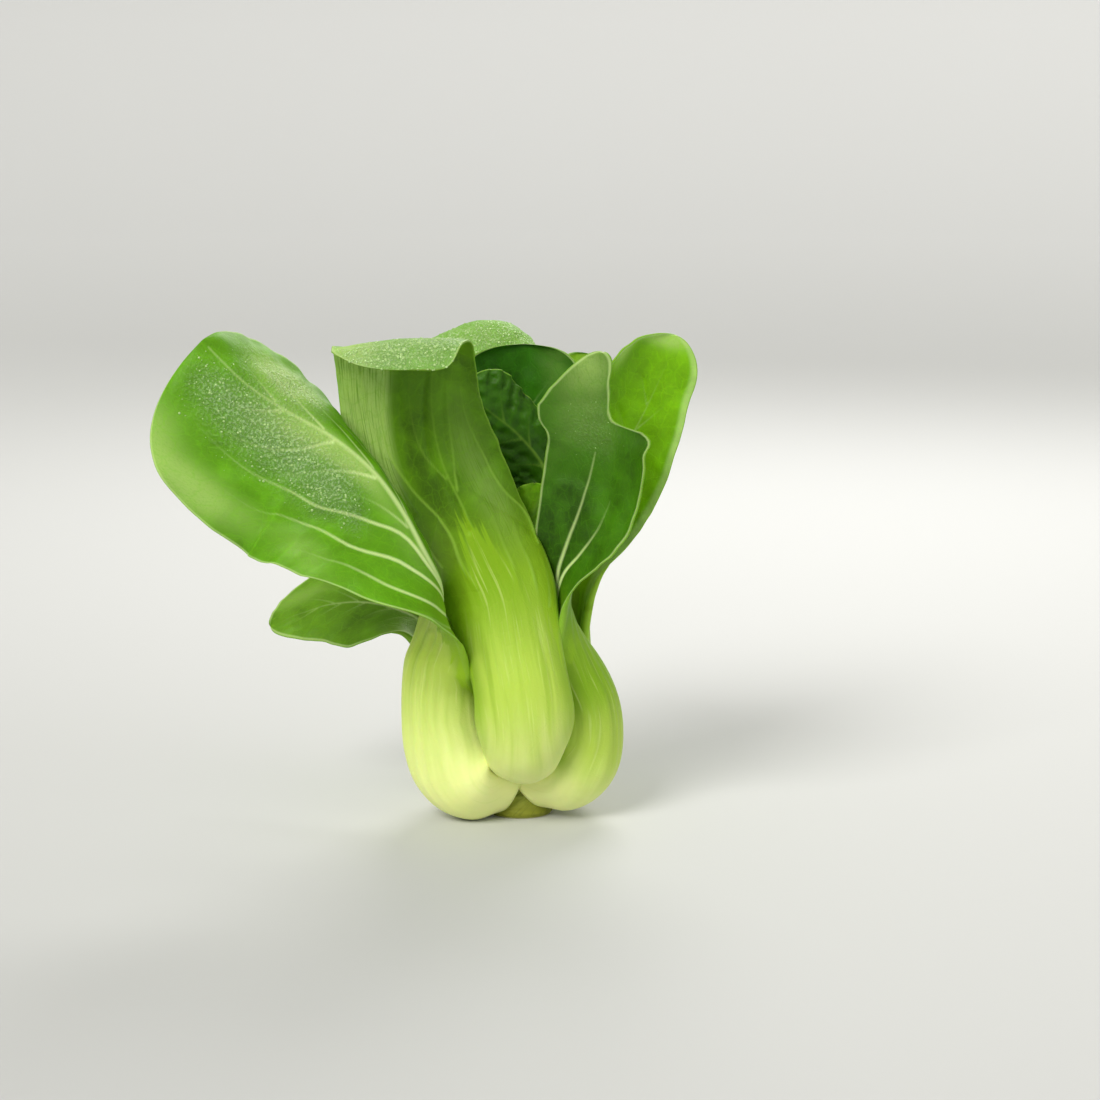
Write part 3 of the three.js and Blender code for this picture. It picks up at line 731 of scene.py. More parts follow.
WET = {
    "leaf_front": [(1, 198, -17, 8, 22, 0.75), (1, 192, 2, 8, 6, 0.4)],
    "leaf_left": [
        (1, 196, -11, 14, 6, 0.45), (1, 198, 8, 14, 9, 1.0), (1, 213, 8, 8, 6, 0.5),
        (1, 180, 12, 12, 8, 1.0), (1, 163, 13, 9, 8, 0.9), (1, 150, 15, 6, 4, 0.4),
    ],
    "leaf_back": [(1, 178, 0, 10, 22, 0.65)],
    "leaf_right": [(1, 154, 2, 10, 10, 0.12)],
}


def patches(along, out, entries, face):
    """The sum of a leaf's soft ovals on one face."""
    total = np.zeros_like(along)
    for where, x, y, reach_x, reach_y, strength in entries:
        if where == face:
            total += strength * np.exp(-(((along - x) / reach_x) ** 2) - ((out - y) / reach_y) ** 2)
    return total


print("tones:", sum(map(len, PAINTED_LIGHT_AND_WAX.values())), "wet patches:", sum(map(len, WET.values())))

# %% [markdown]
# ## Finish of each leaf
# The leaves share one way of growing and differ in a few facts: how long the stalk stays pale, how wide the
# midrib is, how deep the blade puckers, and what green its two faces have. The usual facts are written once,
# and each leaf names only what is its own. The young leaves of the heart are the most crinkled.

# %% Finish table
# slot: the record's material slot. cell: size of the fine grid's cells. pale: where along the leaf the pale
# stalk starts to narrow to the midrib, and where it has. rib: the midrib's width there. wing: width of the
# green strip that the blade sends down along either margin of the stalk. rim: width of the pale margin.
# late: below 1, the stalk stays pale for longer. fade: where the midrib is lost in the blade.
# taper: below 1, the stalk narrows early and then runs out in a long point.
# tender: how far beyond the end of the stalk the blade is still a young, pale green, which
# also paints light into the shade round the neck.
# pucker: how far the blade swells between veins, and over what length. ribs: height of the stalk's ribs.
# outside, inside: colours of the blade's two faces.
OUTER = dict(
    slot="outer_leaf", wing=3, pucker=(0.3, 10), ribs=0.15, late=1, taper=1, tender=14, rim=0.8,
)
INNER = OUTER | dict(slot="inner_leaf", wing=1, ribs=0.1)
HEART = INNER | dict(slot="heart_leaf", cell=0.8, rib=0.8, pucker=(0.7, 6))
FINISH = {
    "leaf_front": OUTER | dict(
        cell=0.62, pale=(62, 138), rib=0.9, wing=4, pucker=(0.25, 11), ribs=0.06, taper=0.55, tender=-6,
        outside=(0.085, 0.21, 0.003), inside=(0.17, 0.37, 0.055),
    ),
    "leaf_left": OUTER | dict(
        cell=0.67, pale=(86, 108), rib=3.0, pucker=(0.45, 13), ribs=0.26, late=0.66,
        outside=(0.10, 0.25, 0.006), inside=(0.105, 0.30, 0.004),
    ),
    "leaf_right": OUTER | dict(
        cell=0.66, pale=(62, 92), rib=2.6, pucker=(0.35, 10), late=1.45, fade=146,
        outside=(0.08, 0.22, 0.006), inside=(0.042, 0.145, 0.002),
    ),
    # Its inner face is its own yellow-green, painted brighter to show the glow of light shining through it.
    "leaf_right_back": OUTER | dict(
        cell=0.62, pale=(70, 100), rib=1.0, rim=3.0,
        outside=(0.15, 0.34, 0.006), inside=(0.165, 0.40, 0.002),
    ),
    "leaf_back": OUTER | dict(
        cell=0.8, pale=(74, 108), rib=1.6, pucker=(0.4, 12),
        outside=(0.09, 0.22, 0.006), inside=(0.15, 0.37, 0.03),
    ),
    "leaf_back_left": OUTER | dict(
        cell=0.66, pale=(46, 72), rib=1.3, outside=(0.09, 0.23, 0.006), inside=(0.11, 0.26, 0.006),
    ),
    "leaf_inner_right": INNER | dict(
        cell=0.9, pale=(70, 100), rib=0.8, pucker=(0.3, 9),
        outside=(0.16, 0.33, 0.01), inside=(0.2, 0.38, 0.02),
    ),
    "leaf_inner_back": INNER | dict(
        cell=0.8, pale=(64, 92), rib=0.35, fade=84,
        outside=(0.06, 0.18, 0.004), inside=(0.024, 0.12, 0.001),
    ),
    "leaf_heart_right": HEART | dict(
        cell=0.7, pale=(64, 92), rib=2.4, pucker=(1.0, 5), rim=0.1, fade=139,
        outside=(0.03, 0.11, 0.002), inside=(0.08, 0.25, 0.004),
    ),
    "leaf_heart_left": HEART | dict(
        pale=(50, 76), outside=(0.05, 0.15, 0.004), inside=(0.05, 0.15, 0.004),
    ),
    "leaf_heart_front": HEART | dict(
        pale=(44, 66), outside=(0.14, 0.34, 0.006), inside=(0.14, 0.34, 0.006),
    ),
}
print("finest cell:", min(finish["cell"] for finish in FINISH.values()), "mm")

# %% [markdown]
# ## From table to fine sheet
# A leaf is worked out in three steps. First its grid is laid out flat, with rows along the leaf and columns
# across it: wide cells on the calm stalk, small ones on the blade, and smaller still round the tip. Then
# the flat grid is bent to the table's midrib and cups. Last come the things that lie on it. Ribs stand out
# from the back of the stalk and veins from the back of the blade, and the blade swells between its veins,
# as it does on the plant, where the veins stop growing before the leaf does.

# %% Thickness
RIB_TAPER = 2.2  # power at which the midrib thins towards the tip
RIB_REACH = 1.02  # half width of the thick part of a stalk, as a share of the stalk's
MIDRIB_REACH = 3.2  # half width that is left of it in the blade


def thickness(leaf, distance, out, half_width, length):
    """Thickness of a leaf at a distance along it and an arc length out from its midrib.

    A stalk is half as thick at its foot, thickest a third of the way up, and thins towards the neck."""
    stalk = np.clip(distance / leaf["neck"], 0, 1)
    blade = np.clip((distance - leaf["neck"]) / (length - leaf["neck"]), 0, 1)
    swell = 0.5 + 0.5 * ease(stalk / 0.3) - 0.38 * ease((stalk - 0.35) / 0.65)
    rib = BLADE + (leaf["thick"] * swell - BLADE) * (1 - blade) ** RIB_TAPER
    rib_width = half_width * RIB_REACH * (1 - ease(blade / 0.4)) + MIDRIB_REACH * (1 - blade) + 1
    edge = BLADE + (STALK_EDGE - BLADE) * (1 - ease(blade / 0.15))
    bulge = np.maximum(0, 1 - (out / rib_width) ** 2) ** 0.8
    return edge + (rib - edge) * bulge


for leaf_name, along in (("leaf_front", 26), ("leaf_front", 88), ("leaf_heart_front", 20)):
    midline = thickness(LEAVES[leaf_name], along, 0, 14, LOFTS[leaf_name].length)
    print(f"{leaf_name}: {midline:.1f} mm thick at {along} mm")


# %% Laying the grid out flat
FOOT_SINK = 2.5  # how far a leaf's foot runs on into the butt
STALK_CELL = 1.2  # length of a cell on the stalk, where the surface is calm
TIP_CROWDING = 1.4  # how much closer rows lie round the tip than on the blade
TIP_END = 0.998  # share of a quarter turn at which the rounded tip is closed off


def halves(share, pair):
    """The clockwise value of a pair where share is below 0, and the counterclockwise one elsewhere."""
    return np.where(share < 0, pair[0], pair[1])


def flat_sheet(name):
    """Where the points of a leaf's fine grid lie along the leaf and across it."""
    leaf, loft, cell = LEAVES[name], LOFTS[name], FINISH[name]["cell"]
    neck, length, (tip, square) = leaf["neck"], loft.length, leaf["tip"]
    tip_rows = round(TIP_CROWDING * tip / cell)
    rows = np.concatenate([
        np.arange(-FOOT_SINK, neck, STALK_CELL),
        np.linspace(neck, length - tip, round((length - tip - neck) / cell), endpoint=False),
        length - tip + tip * np.sin(np.linspace(0, TIP_END, tip_rows) * math.pi / 2),
    ])
    columns = 2 * round(loft.rows[:, 3:5].max() / cell) + 1
    along, share = np.meshgrid(rows, np.linspace(-1, 1, columns), indexing="ij")
    blade = np.clip((along - neck) / (length - neck), 0, 1)
    tip_share = np.clip((along - length + tip) / tip, 0, 1)
    row = loft.sample(along)[0]
    half_width = halves(share, (row[..., 3], row[..., 4]))
    width = half_width * (1 - tip_share**square) ** (1 / square)
    ahead = halves(share, leaf["rise"]) * ease(blade) * (1 - tip_share**2)
    behind = halves(share, leaf["wrap"]) * (1 - ease(along / WRAP_LENGTH))
    return SimpleNamespace(
        along=along,  # millimetres from the foot, by the midrib
        out=share * width,  # millimetres from the midrib, below 0 on the clockwise half
        share=share,  # -1 at the clockwise margin and 1 at the other
        edge=abs(share),  # 0 at the midrib and 1 at either margin
        side=np.where(share < 0, -1.0, 1.0),
        width=width,
        half_width=half_width,  # width as it would be without the rounded tip
        blade=blade,  # 0 on the stalk, then rising to 1 at the tip
        distance=along + (ahead - behind) * share**2,  # where along the midrib's curve the point hangs
    )


print("the front leaf's grid:", flat_sheet("leaf_front").out.shape)


# %% Bending it
ARC_STEPS = 12  # steps in which a half sheet's bend is added up


def turned(vector, axis, angle):
    """vector, at right angles to axis, turned about it."""
    return vector * np.cos(angle)[..., None] + np.cross(axis, vector) * np.sin(angle)[..., None]


def bent_sheet(name, flat):
    """The inner face of a bent leaf as a smooth sheet, and the directions that point out of its back."""
    leaf, loft = LEAVES[name], LOFTS[name]
    row, travel = loft.sample(flat.distance)
    azimuth = math.radians(leaf["azimuth"])
    level = np.array([-math.sin(azimuth), math.cos(azimuth), 0])
    across = level - travel * (travel @ level)[..., None]
    across /= np.linalg.norm(across, axis=-1, keepdims=True)
    across = turned(across, travel, np.radians(row[..., 5]))
    outward = np.cross(across, travel)
    cup = np.radians(halves(flat.share, (row[..., 6], row[..., 7])))
    curl = halves(flat.share, leaf["curl"])
    bends = [cup * ((i + 0.5) / ARC_STEPS * flat.edge) ** curl for i in range(ARC_STEPS)]
    sideways = np.mean([np.cos(bend) for bend in bends], axis=0) * flat.edge * flat.width
    inwards = np.mean([np.sin(bend) for bend in bends], axis=0) * flat.edge * flat.width
    bend = cup * flat.edge**curl
    normal = outward * np.cos(bend)[..., None] + across * (flat.side * np.sin(bend))[..., None]
    centre = thickness(leaf, flat.distance, 0 * flat.out, flat.half_width, loft.length)
    inner = row[..., :3] - outward * (centre + inwards)[..., None]
    inner += across * (flat.side * sideways)[..., None]
    return inner, normal


front_face = bent_sheet("leaf_front", flat_sheet("leaf_front"))[0]
print("the front leaf's inner face reaches", round(float(front_face[..., 2].max()), 1), "mm up")


# %% Waves, puckers and ribs
HALF_PHASE = 1.3  # how far the two margins' waves are out of step
RIB_SPACING = 3.1  # from one rib of the stalk to the next
RIBS_OUT = (8, 5)  # where the ribs start to weaken on the way to the margin, and over what width
CREST_OUTSIDE = 0.35  # height of a vein on the back of the blade
CREST_INSIDE = 0.18  # depth of a vein below the inner face
UNEVENNESS = 0.12  # height of the stalk's slow lumps
OPENING = 0.25  # share of the blade over which it takes over from the stalk's relief


def ripples(x, y, length, seed, count=9):
    """Smooth unevenness with lumps about length across, mostly between -1 and 1, the same on every run."""
    total = np.zeros_like(x)
    draws = np.random.default_rng(seed).uniform((0, 0, 0.65), (math.pi, 2 * math.pi, 1.5), (count, 3))
    for heading, phase, stretch in draws:
        turns = (x * math.cos(heading) + y * math.sin(heading)) / (length * stretch)
        total += np.sin(2 * math.pi * turns + phase)
    return total / math.sqrt(count)


def blade_lift(name, flat, valley):
    """How far waves, puckers and pleats lift the blade towards its back, in millimetres."""
    finish, seed = FINISH[name], sum(map(ord, name))
    wave_height, wave_count, wave_phase = LEAVES[name]["wave"]
    phase = 2 * math.pi * wave_count * flat.blade + wave_phase + halves(flat.share, (HALF_PHASE, 0))
    height, span = finish["pucker"]
    open_blade = ease(flat.blade / OPENING)
    swelling = 0.6 + 0.6 * ripples(flat.along, flat.out, span, seed)
    crinkles = ripples(flat.along, flat.out, span * 0.6, seed + 1)
    lift = wave_height * flat.edge**2.5 * ease(flat.blade / 0.3) * np.sin(phase)
    lift -= height * open_blade * (1 - valley) * swelling
    lift += 0.4 * height * open_blade * flat.edge**2 * crinkles
    for width, depth, points in PLEATS.get(name, []):
        lift -= depth * feel_veins(flat.along, flat.out, [(width, width, points)], finish["cell"])[0]
    return lift


def back_relief(name, flat, crest):
    """How far the stalk's ribs and the blade's veins stand out from the back, in millimetres."""
    seed = sum(map(ord, name))
    along, out, blade = flat.along, flat.out, flat.blade
    wander = 1.5 * ripples(along * 0.1, out, 9, seed + 2)
    ribs = np.cos(2 * math.pi * out / RIB_SPACING + wander)
    relief = FINISH[name]["ribs"] * ribs * ease(along / LEAVES[name]["neck"] * 1.4)
    relief *= 1 - ease(blade / OPENING)
    relief *= 1 - 0.85 * ease((abs(out) - RIBS_OUT[0]) / RIBS_OUT[1])
    relief += CREST_OUTSIDE * crest * ease(blade / 0.05)
    relief += UNEVENNESS * ripples(along * 0.35, out, 14, seed + 3) * (1 - blade)
    return relief


waves = ripples(np.arange(2000.0), np.zeros(2000), 10, 1)
print("share of the ripples between -1 and 1:", round(float((abs(waves) < 1).mean()), 2))


# %% Where the blade is green
WING_LENGTH = 42  # how far below the neck the blade's green strips begin
ALL_PALE = 1.25  # half width of the pale part low on the stalk, as a share of the stalk's
ALL_GREEN = 2.5  # how far past the midrib the border has drawn back, where the stalk has ended


def greenness(name, flat):
    """Millimetres from the border between pale stalk and green blade, above 0 on the green side."""
    finish = FINISH[name]
    start, end = finish["pale"]
    wing = ease((flat.along - LEAVES[name]["neck"] + WING_LENGTH) / WING_LENGTH)
    narrowing = ease((flat.along - start) / (end - start)) ** finish["taper"]
    pale = flat.half_width * ALL_PALE * (1 - narrowing) - ALL_GREEN * narrowing
    pale = np.minimum(pale, flat.half_width * (ALL_PALE - 0.25 * wing) - finish["wing"] * wing)
    return np.clip(abs(flat.out) - pale, -12, 12)


green_points = greenness("leaf_left", flat_sheet("leaf_left")) > 0
print("green share of the left leaf's points:", round(float(green_points.mean()), 2))


# %% The finished sheet
def relaxed(points, share, passes=30):
    """A grid of points whose columns are smoothed by share, which evens out a stalk's sharper bends."""
    smooth = points.copy()
    for _ in range(passes):
        smooth[1:-1] = (smooth[:-2] + 2 * smooth[1:-1] + smooth[2:]) / 4
    return points + (smooth - points) * share[..., None]


def sheet(name):
    """Inner and outer points of a leaf on its fine grid, and what its skin has to know at each of them."""
    leaf, loft, finish = LEAVES[name], LOFTS[name], FINISH[name]
    flat = flat_sheet(name)
    inner, normal = bent_sheet(name, flat)
    start, end = finish["pale"]
    fade = finish.get("fade", loft.length - 3)
    midrib = (finish["rib"], 0.35 * finish["rib"], [(start, 0), ((end + fade) / 2, 0), (fade, 0)])
    crest, valley = feel_veins(flat.along, flat.out, [midrib, *VEINS[name]], finish["cell"])
    inner += normal * blade_lift(name, flat, valley)[..., None]
    stalk_margins = ease((flat.edge - 0.15) / 0.4) * ease((leaf["neck"] + 4 - flat.along) / 10)
    inner = relaxed(inner, stalk_margins)
    depth = thickness(leaf, flat.distance, flat.out, flat.half_width, loft.length)
    outer = inner + normal * (depth + back_relief(name, flat, crest))[..., None]
    inner += normal * (CREST_INSIDE * crest * ease(flat.blade / OPENING))[..., None]
    return SimpleNamespace(
        inner=inner, outer=outer, along=flat.along, out=flat.out, crest=crest,
        green=greenness(name, flat), margin=flat.width - abs(flat.out),
        light_and_wax_tones=[patches(flat.along, flat.out, PAINTED_LIGHT_AND_WAX.get(name, []), face) for face in (0, 1)],
        wet=[patches(flat.along, flat.out, WET.get(name, []), face) for face in (0, 1)],
    )


print("a leaf's grid:", sheet("leaf_heart_front").out.shape)

# %% [markdown]
# ## From sheet to closed mesh
# Each row of the grid becomes a closed ring: across the back of the leaf, round the rolled margin, back
# across the inner face, and round the other margin. The rings are joined by four-sided faces, and the first
# and the last one are closed. What the skin has to know goes with the points as attributes: `place` holds
# out, along, and 1 on the inner face, and `zones` holds green, crest and margin.

# %% A mesh from rings
def build_mesh(name, rings, values, caps):
    """A closed mesh from rows of rings. values are attributes by name, and caps its end faces' corners."""
    rows, around = rings.shape[:2]
    row, k = np.meshgrid(np.arange(rows - 1), np.arange(around), indexing="ij")
    here, after = row * around + k, row * around + (k + 1) % around
    quads = np.stack([here, after, after + around, here + around], -1).reshape(-1, 4)
    points = np.maximum(rings.reshape(-1, 3) * MM, [-1, -1, 0])  # nothing reaches below the floor
    mesh = bpy.data.meshes.new(name)
    mesh.from_pydata(points.tolist(), [], quads.tolist() + caps)
    for key, value in values.items():
        kind, field = ("FLOAT_VECTOR", "vector") if value.ndim == 3 else ("FLOAT", "value")
        attribute = mesh.attributes.new(key, kind, "POINT")
        attribute.data.foreach_set(field, value.astype(np.float32).ravel())
    mesh.shade_smooth()
    mesh.update()
    return mesh


# %% Rolled margins and closed ends
RIM_ANGLES = (45, 0, -45)  # where the points of the rolled margin lie on their half turn, in degrees
RIM = len(RIM_ANGLES)


def rolled_rim(outer, inner, edge, near, angles):
    """Points round the margin in column edge, whose neighbour is column near."""
    middle = (outer + inner) / 2
    reach = middle[:, edge] - middle[:, near]
    reach /= np.maximum(np.linalg.norm(reach, axis=1, keepdims=True), 1e-9)
    half = (outer[:, edge] - inner[:, edge]) / 2
    size = np.linalg.norm(half, axis=1, keepdims=True)
    turns = [math.radians(angle) for angle in angles]
    points = [middle[:, edge] + reach * size * math.cos(a) + half * math.sin(a) for a in turns]
    return np.stack(points, axis=1)


def ring_value(outside, inside):
    """A value of the back and one of the inner face, joined as a ring's points are."""
    last = np.repeat(outside[:, -1:], RIM, axis=1)
    first = np.repeat(outside[:, :1], RIM, axis=1)
    return np.concatenate([outside, last, inside[:, ::-1], first], axis=1)


def end_faces(columns, around, base):
    """The faces that close the ring whose first point is number base: a strip of quads, and two rims."""
    def across(j):
        return base + columns + RIM + columns - 1 - j

    faces = [[base + j, base + j + 1, across(j + 1), across(j)] for j in range(columns - 1)]
    faces.append([base + columns - 1 + k for k in range(RIM + 2)])
    faces.append([base + (2 * columns + RIM - 1 + k) % around for k in range(RIM + 2)])
    return faces


print("faces that close a ring of 5 columns:", len(end_faces(5, 2 * (5 + RIM), 0)))


# %% The mesh of a leaf
def leaf_mesh(name):
    """The closed mesh of a leaf, with the attributes that its skin and its dew read."""
    grid = sheet(name)
    last_rim = rolled_rim(grid.outer, grid.inner, -1, -2, RIM_ANGLES)
    first_rim = rolled_rim(grid.outer, grid.inner, 0, 1, RIM_ANGLES[::-1])
    rings = np.concatenate([grid.outer, last_rim, grid.inner[:, ::-1], first_rim], axis=1)

    def both(value):
        return ring_value(value, value)

    on_inner_face = ring_value(np.zeros_like(grid.out), np.ones_like(grid.out))
    values = {
        "place": np.stack([both(grid.out), both(grid.along), on_inner_face], axis=-1),
        "zones": np.stack([both(grid.green), both(grid.crest), both(grid.margin)], axis=-1),
        "light_and_wax_tones": ring_value(*grid.light_and_wax_tones),
        "wet": np.clip(ring_value(*grid.wet), 0, 1),
    }
    rows, around = rings.shape[:2]
    columns = grid.out.shape[1]
    foot = [face[::-1] for face in end_faces(columns, around, 0)]
    tip = end_faces(columns, around, (rows - 1) * around)
    return build_mesh(name, rings, values, foot + tip)

# %% [markdown]
# ## Skin of a leaf
# One recipe dresses every leaf, with its own two blade colours. It is painted in steps, each a cell below.
# The pale stalk turns greener as it rises, in long thin streaks that run along it. The blade is cloudy, with
# a faint net of veinlets in the fields between the side veins, paler where it is waxy and where sheen is
# painted, and darker where shade is painted. Where the two meet, the streaks fray the border. Last comes the
# dew that is too small to model as drops: it has run together into a wrinkled film, with painted sheen on
# its wrinkles and domes and painted shade between them.

# %% Colours
STALK_LOW = (0.84, 0.90, 0.37)
STALK_MID = (0.46, 0.64, 0.085)
STALK_TOP = (0.22, 0.41, 0.010)
# young green by the neck, bright enough to paint light into the shade round it
TENDER_GREEN_AND_PAINTED_LIGHT = (0.36, 0.60, 0.02)
STREAK = (0.72, 0.84, 0.28)
VEIN_INSIDE = (0.64, 0.82, 0.34)
VEIN_OUTSIDE = (0.30, 0.52, 0.06)
# painted sheen of a wet film
DEW_PAINTED_SHEEN = (0.50, 0.64, 0.40)
# pale colour of wax, which also paints sheen and highlights
WAX_AND_PAINTED_SHEEN = (0.42, 0.58, 0.17)

# How closely noise is packed across the leaf and along it, in lumps per millimetre.
FINE_STREAKS = (1.1, 0.035)
BROAD_STREAKS = (0.35, 0.02)
CLOUDS = (0.09, 0.09)
print("streaks, mm wide:", [round(1 / packing[0], 1) for packing in (FINE_STREAKS, BROAD_STREAKS)])


def shaded(colour, factor):
    """A colour made darker or brighter."""
    return tuple(part * factor for part in colour)


# %% What the skin reads
def skin_facts(paint, name):
    """The attributes and noises that the layers of a leaf's skin share, as links."""
    seed = sum(map(ord, name)) % 50
    out, along, inside = paint.parts("place")
    green, crest, margin = paint.parts("zones")

    def noise(packing, shift, detail):
        place = paint.vector(out * packing[0], along * packing[1], seed + shift)
        return paint.noise(place, 1.0, detail)

    return SimpleNamespace(
        seed=seed, out=out, along=along, inside=inside, green=green, crest=crest, margin=margin,
        tone=paint.number("light_and_wax_tones"), wet=paint.number("wet"),
        rise=along * (FINISH[name]["late"] / LEAVES[name]["neck"]),
        place=paint.vector(out, along, seed),
        fine=noise(FINE_STREAKS, 0, 3),
        broad=noise(BROAD_STREAKS, 9, 2),
        cloud=noise(CLOUDS, 3, 3),
    )


# %% The stalk
def stalk_colour(paint, skin):
    """Pale at the foot and greener as it rises, and greenest by its margins."""
    rise, fine, broad = skin.rise, skin.fine, skin.broad
    colour = paint.mix(STALK_LOW, STALK_MID, (rise + broad * 0.25).between(0.2, 0.8))
    colour = paint.mix(colour, STALK_TOP, (rise + fine * 0.25).between(0.75, 1.25))
    colour = paint.mix(colour, STREAK, fine.between(0.54, 0.70) * 0.32)
    dark_streaks = broad.between(0.52, 0.75) * rise.between(0.2, 0.8)
    colour = paint.mix(colour, shaded(STALK_TOP, 0.9), dark_streaks * 0.45)
    by_margin = skin.margin.between(6.0, 0.5) * rise.between(0.2, 0.7)
    return paint.mix(colour, STALK_TOP, by_margin * 0.75)


# %% The blade
NET = (0.22, 0.08)  # cells per millimetre, and width of a thread in cells
FINE_NET = (0.75, 0.12)
NET_WANDER = 3.0  # how far the nets' threads stray from straight ones, in millimetres


def veinlets(paint, skin):
    """Two nets, 1 on their threads: a wide one, and a fine one in its fields."""
    wander = paint.noise(skin.place, 0.35, 2) * NET_WANDER
    place = paint.vector(skin.out + wander, skin.along * 0.8 + wander, skin.seed)
    return [paint.cracks(place, cells).between(thread, 0.0) for cells, thread in (NET, FINE_NET)]


def blade_colour(paint, skin, name, net, fine_net):
    """Cloudy green: painted shade, painted sheen and wax by its tones, and a tender green, painted bright, by
    the neck.
    """
    outside, inside, (start, end) = (FINISH[name][key] for key in ("outside", "inside", "pale"))
    face = paint.mix(outside, inside, skin.inside)
    # Darker and paler copies of the green: random clouds, and painted shade and painted sheen where the tones
    # say.
    darker_and_painted_shade = paint.mix(shaded(outside, 0.55), shaded(inside, 0.5), skin.inside)
    paler_and_painted_sheen = paint.mix(shaded(outside, 1.7), shaded(inside, 1.6), skin.inside)
    shade = skin.cloud.between(0.45, 0.75) * 0.6 - skin.tone
    colour = paint.mix(face, darker_and_painted_shade, shade.between(0.0, 1.0))
    colour = paint.mix(colour, paler_and_painted_sheen, skin.cloud.between(0.5, 0.3) * 0.4)
    grain_place = paint.vector(skin.out * 2.2, skin.along * (0.08 + skin.inside * 1.2), skin.seed + 5)
    grain = paint.noise(grain_place, 1.0, 3).between(0.2, 0.55)
    # Positive tones make the blade waxy and paint sheen and highlights on it.
    wax_and_painted_sheen = skin.tone.between(0.0, 1.0) * (grain * (1 - skin.inside * 0.75) + skin.inside * 0.7)
    colour = paint.mix(colour, paint.mix(paler_and_painted_sheen, WAX_AND_PAINTED_SHEEN, 0.75), wax_and_painted_sheen)
    colour = paint.mix(colour, paler_and_painted_sheen, net * 0.18 + fine_net * 0.12)
    # The tender green also paints light into the shade round the neck.
    tender = skin.along.between(end + FINISH[name]["tender"], start - 2)
    return paint.mix(colour, TENDER_GREEN_AND_PAINTED_LIGHT, tender * 0.9)


# %% The border between them, and the veins
def leaf_colour(paint, skin, name, stalk, blade):
    """Stalk and blade with a frayed border between them, and veins and a pale margin on the blade."""
    start, end = FINISH[name]["pale"]
    rim = FINISH[name]["rim"]
    fray = skin.along.between(end + 16, end - 10) * (0.2 + skin.along.between(start - 16, start + 8) * 0.8)
    streaks = (skin.fine - 0.5) * 13 + (skin.broad - 0.5) * 8
    border = (skin.green + streaks * fray).between(-1.0, 1.3)
    colour = paint.mix(stalk, blade, border)
    vein = paint.mix(VEIN_OUTSIDE, VEIN_INSIDE, skin.inside)
    colour = paint.mix(colour, vein, skin.crest.between(0.22, 0.9) * border * (0.6 + skin.inside * 0.3))
    return paint.mix(colour, vein, skin.margin.between(rim, rim * 0.3) * border * 0.4)


# %% The film of dew
BEADS = 1.5  # cells per millimetre, each with a small dome
WRINKLES = (0.45, 0.62)  # values of noise between which a wrinkle rises


def dewy(paint, skin, name, colour):
    """A colour under dew run together in wrinkles with small domes between, painted sheen on them, painted
    shade in the valleys, and its height.
    """
    wet = skin.wet
    beads = paint.spots(skin.place, BEADS)
    film_place = paint.vector(skin.out, skin.along, skin.seed + 7)
    wrinkles = paint.noise(film_place, 1.0, 2).between(*WRINKLES)
    # Painted shade in the valleys between the wrinkles.
    colour = paint.mix(colour, shaded(FINISH[name]["inside"], 0.45), wet * (1 - wrinkles) * 0.45)
    # Painted sheen on the wrinkles and a painted glint on each dome.
    painted_sheen = 0.12 + wrinkles * 0.35 + beads.between(0.3, 0.1) * 0.25
    colour = paint.mix(colour, DEW_PAINTED_SHEEN, wet * painted_sheen)
    return colour, (beads.between(0.42, 0.1) + wrinkles * 2.5) * wet


# %% Leaf material
RELIEF = 0.25 * MM  # height of the bump map's steps


def leaf_material(name):
    """The skin of one leaf."""
    paint = Paint(name + "_skin")
    skin = skin_facts(paint, name)
    net, fine_net = veinlets(paint, skin)
    blade = blade_colour(paint, skin, name, net, fine_net)
    colour = leaf_colour(paint, skin, name, stalk_colour(paint, skin), blade)
    colour, film = dewy(paint, skin, name, colour)
    speck = paint.noise(skin.place, 2.2, 2)
    height = net * -0.25 + fine_net * -0.12 + speck * 0.25 + skin.fine * 0.35 + film * 3.0
    bump = paint.node("ShaderNodeBump", {}, {"Height": height, "Strength": 0.5, "Distance": RELIEF})
    return paint.finish(
        Base_Color=colour, Roughness=0.44 + speck * 0.12 - skin.wet * 0.2, Normal=bump,
        Subsurface_Weight=0.2, Subsurface_Radius=(0.45, 1.0, 0.10), Subsurface_Scale=1.6 * MM,
        Specular_IOR_Level=0.18,
    )


# %% The leaves
def place_piece(name, mesh, node=None):
    """Adds a mesh to the scene as a piece of the head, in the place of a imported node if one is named."""
    piece = bpy.data.objects.new(name + "_fine" if node else name, mesh)
    bpy.context.scene.collection.objects.link(piece)
    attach(piece, "root")
    if node:
        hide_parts(node)
    return piece


pieces = {}
for leaf_name in LEAVES:
    mesh = leaf_mesh(leaf_name)
    skin = leaf_material(leaf_name)
    mesh.materials.append(skin)
    pieces[leaf_name] = place_piece(leaf_name, mesh, leaf_name)
    mesh.calc_loop_triangles()
    print(f"{leaf_name}: {len(mesh.loop_triangles)} triangles, {len(skin.node_tree.nodes)} shader nodes")

# %% [markdown]
# ## The butt
# The stem between the stalks is turned from a profile, as on a lathe. The outermost leaves that were pulled
# away have left scars round it: low ridges that rise and dip on their way round. Its skin is an olive green
# with fine upright fibres, and the cut face below is flat, paler and marked with rings.

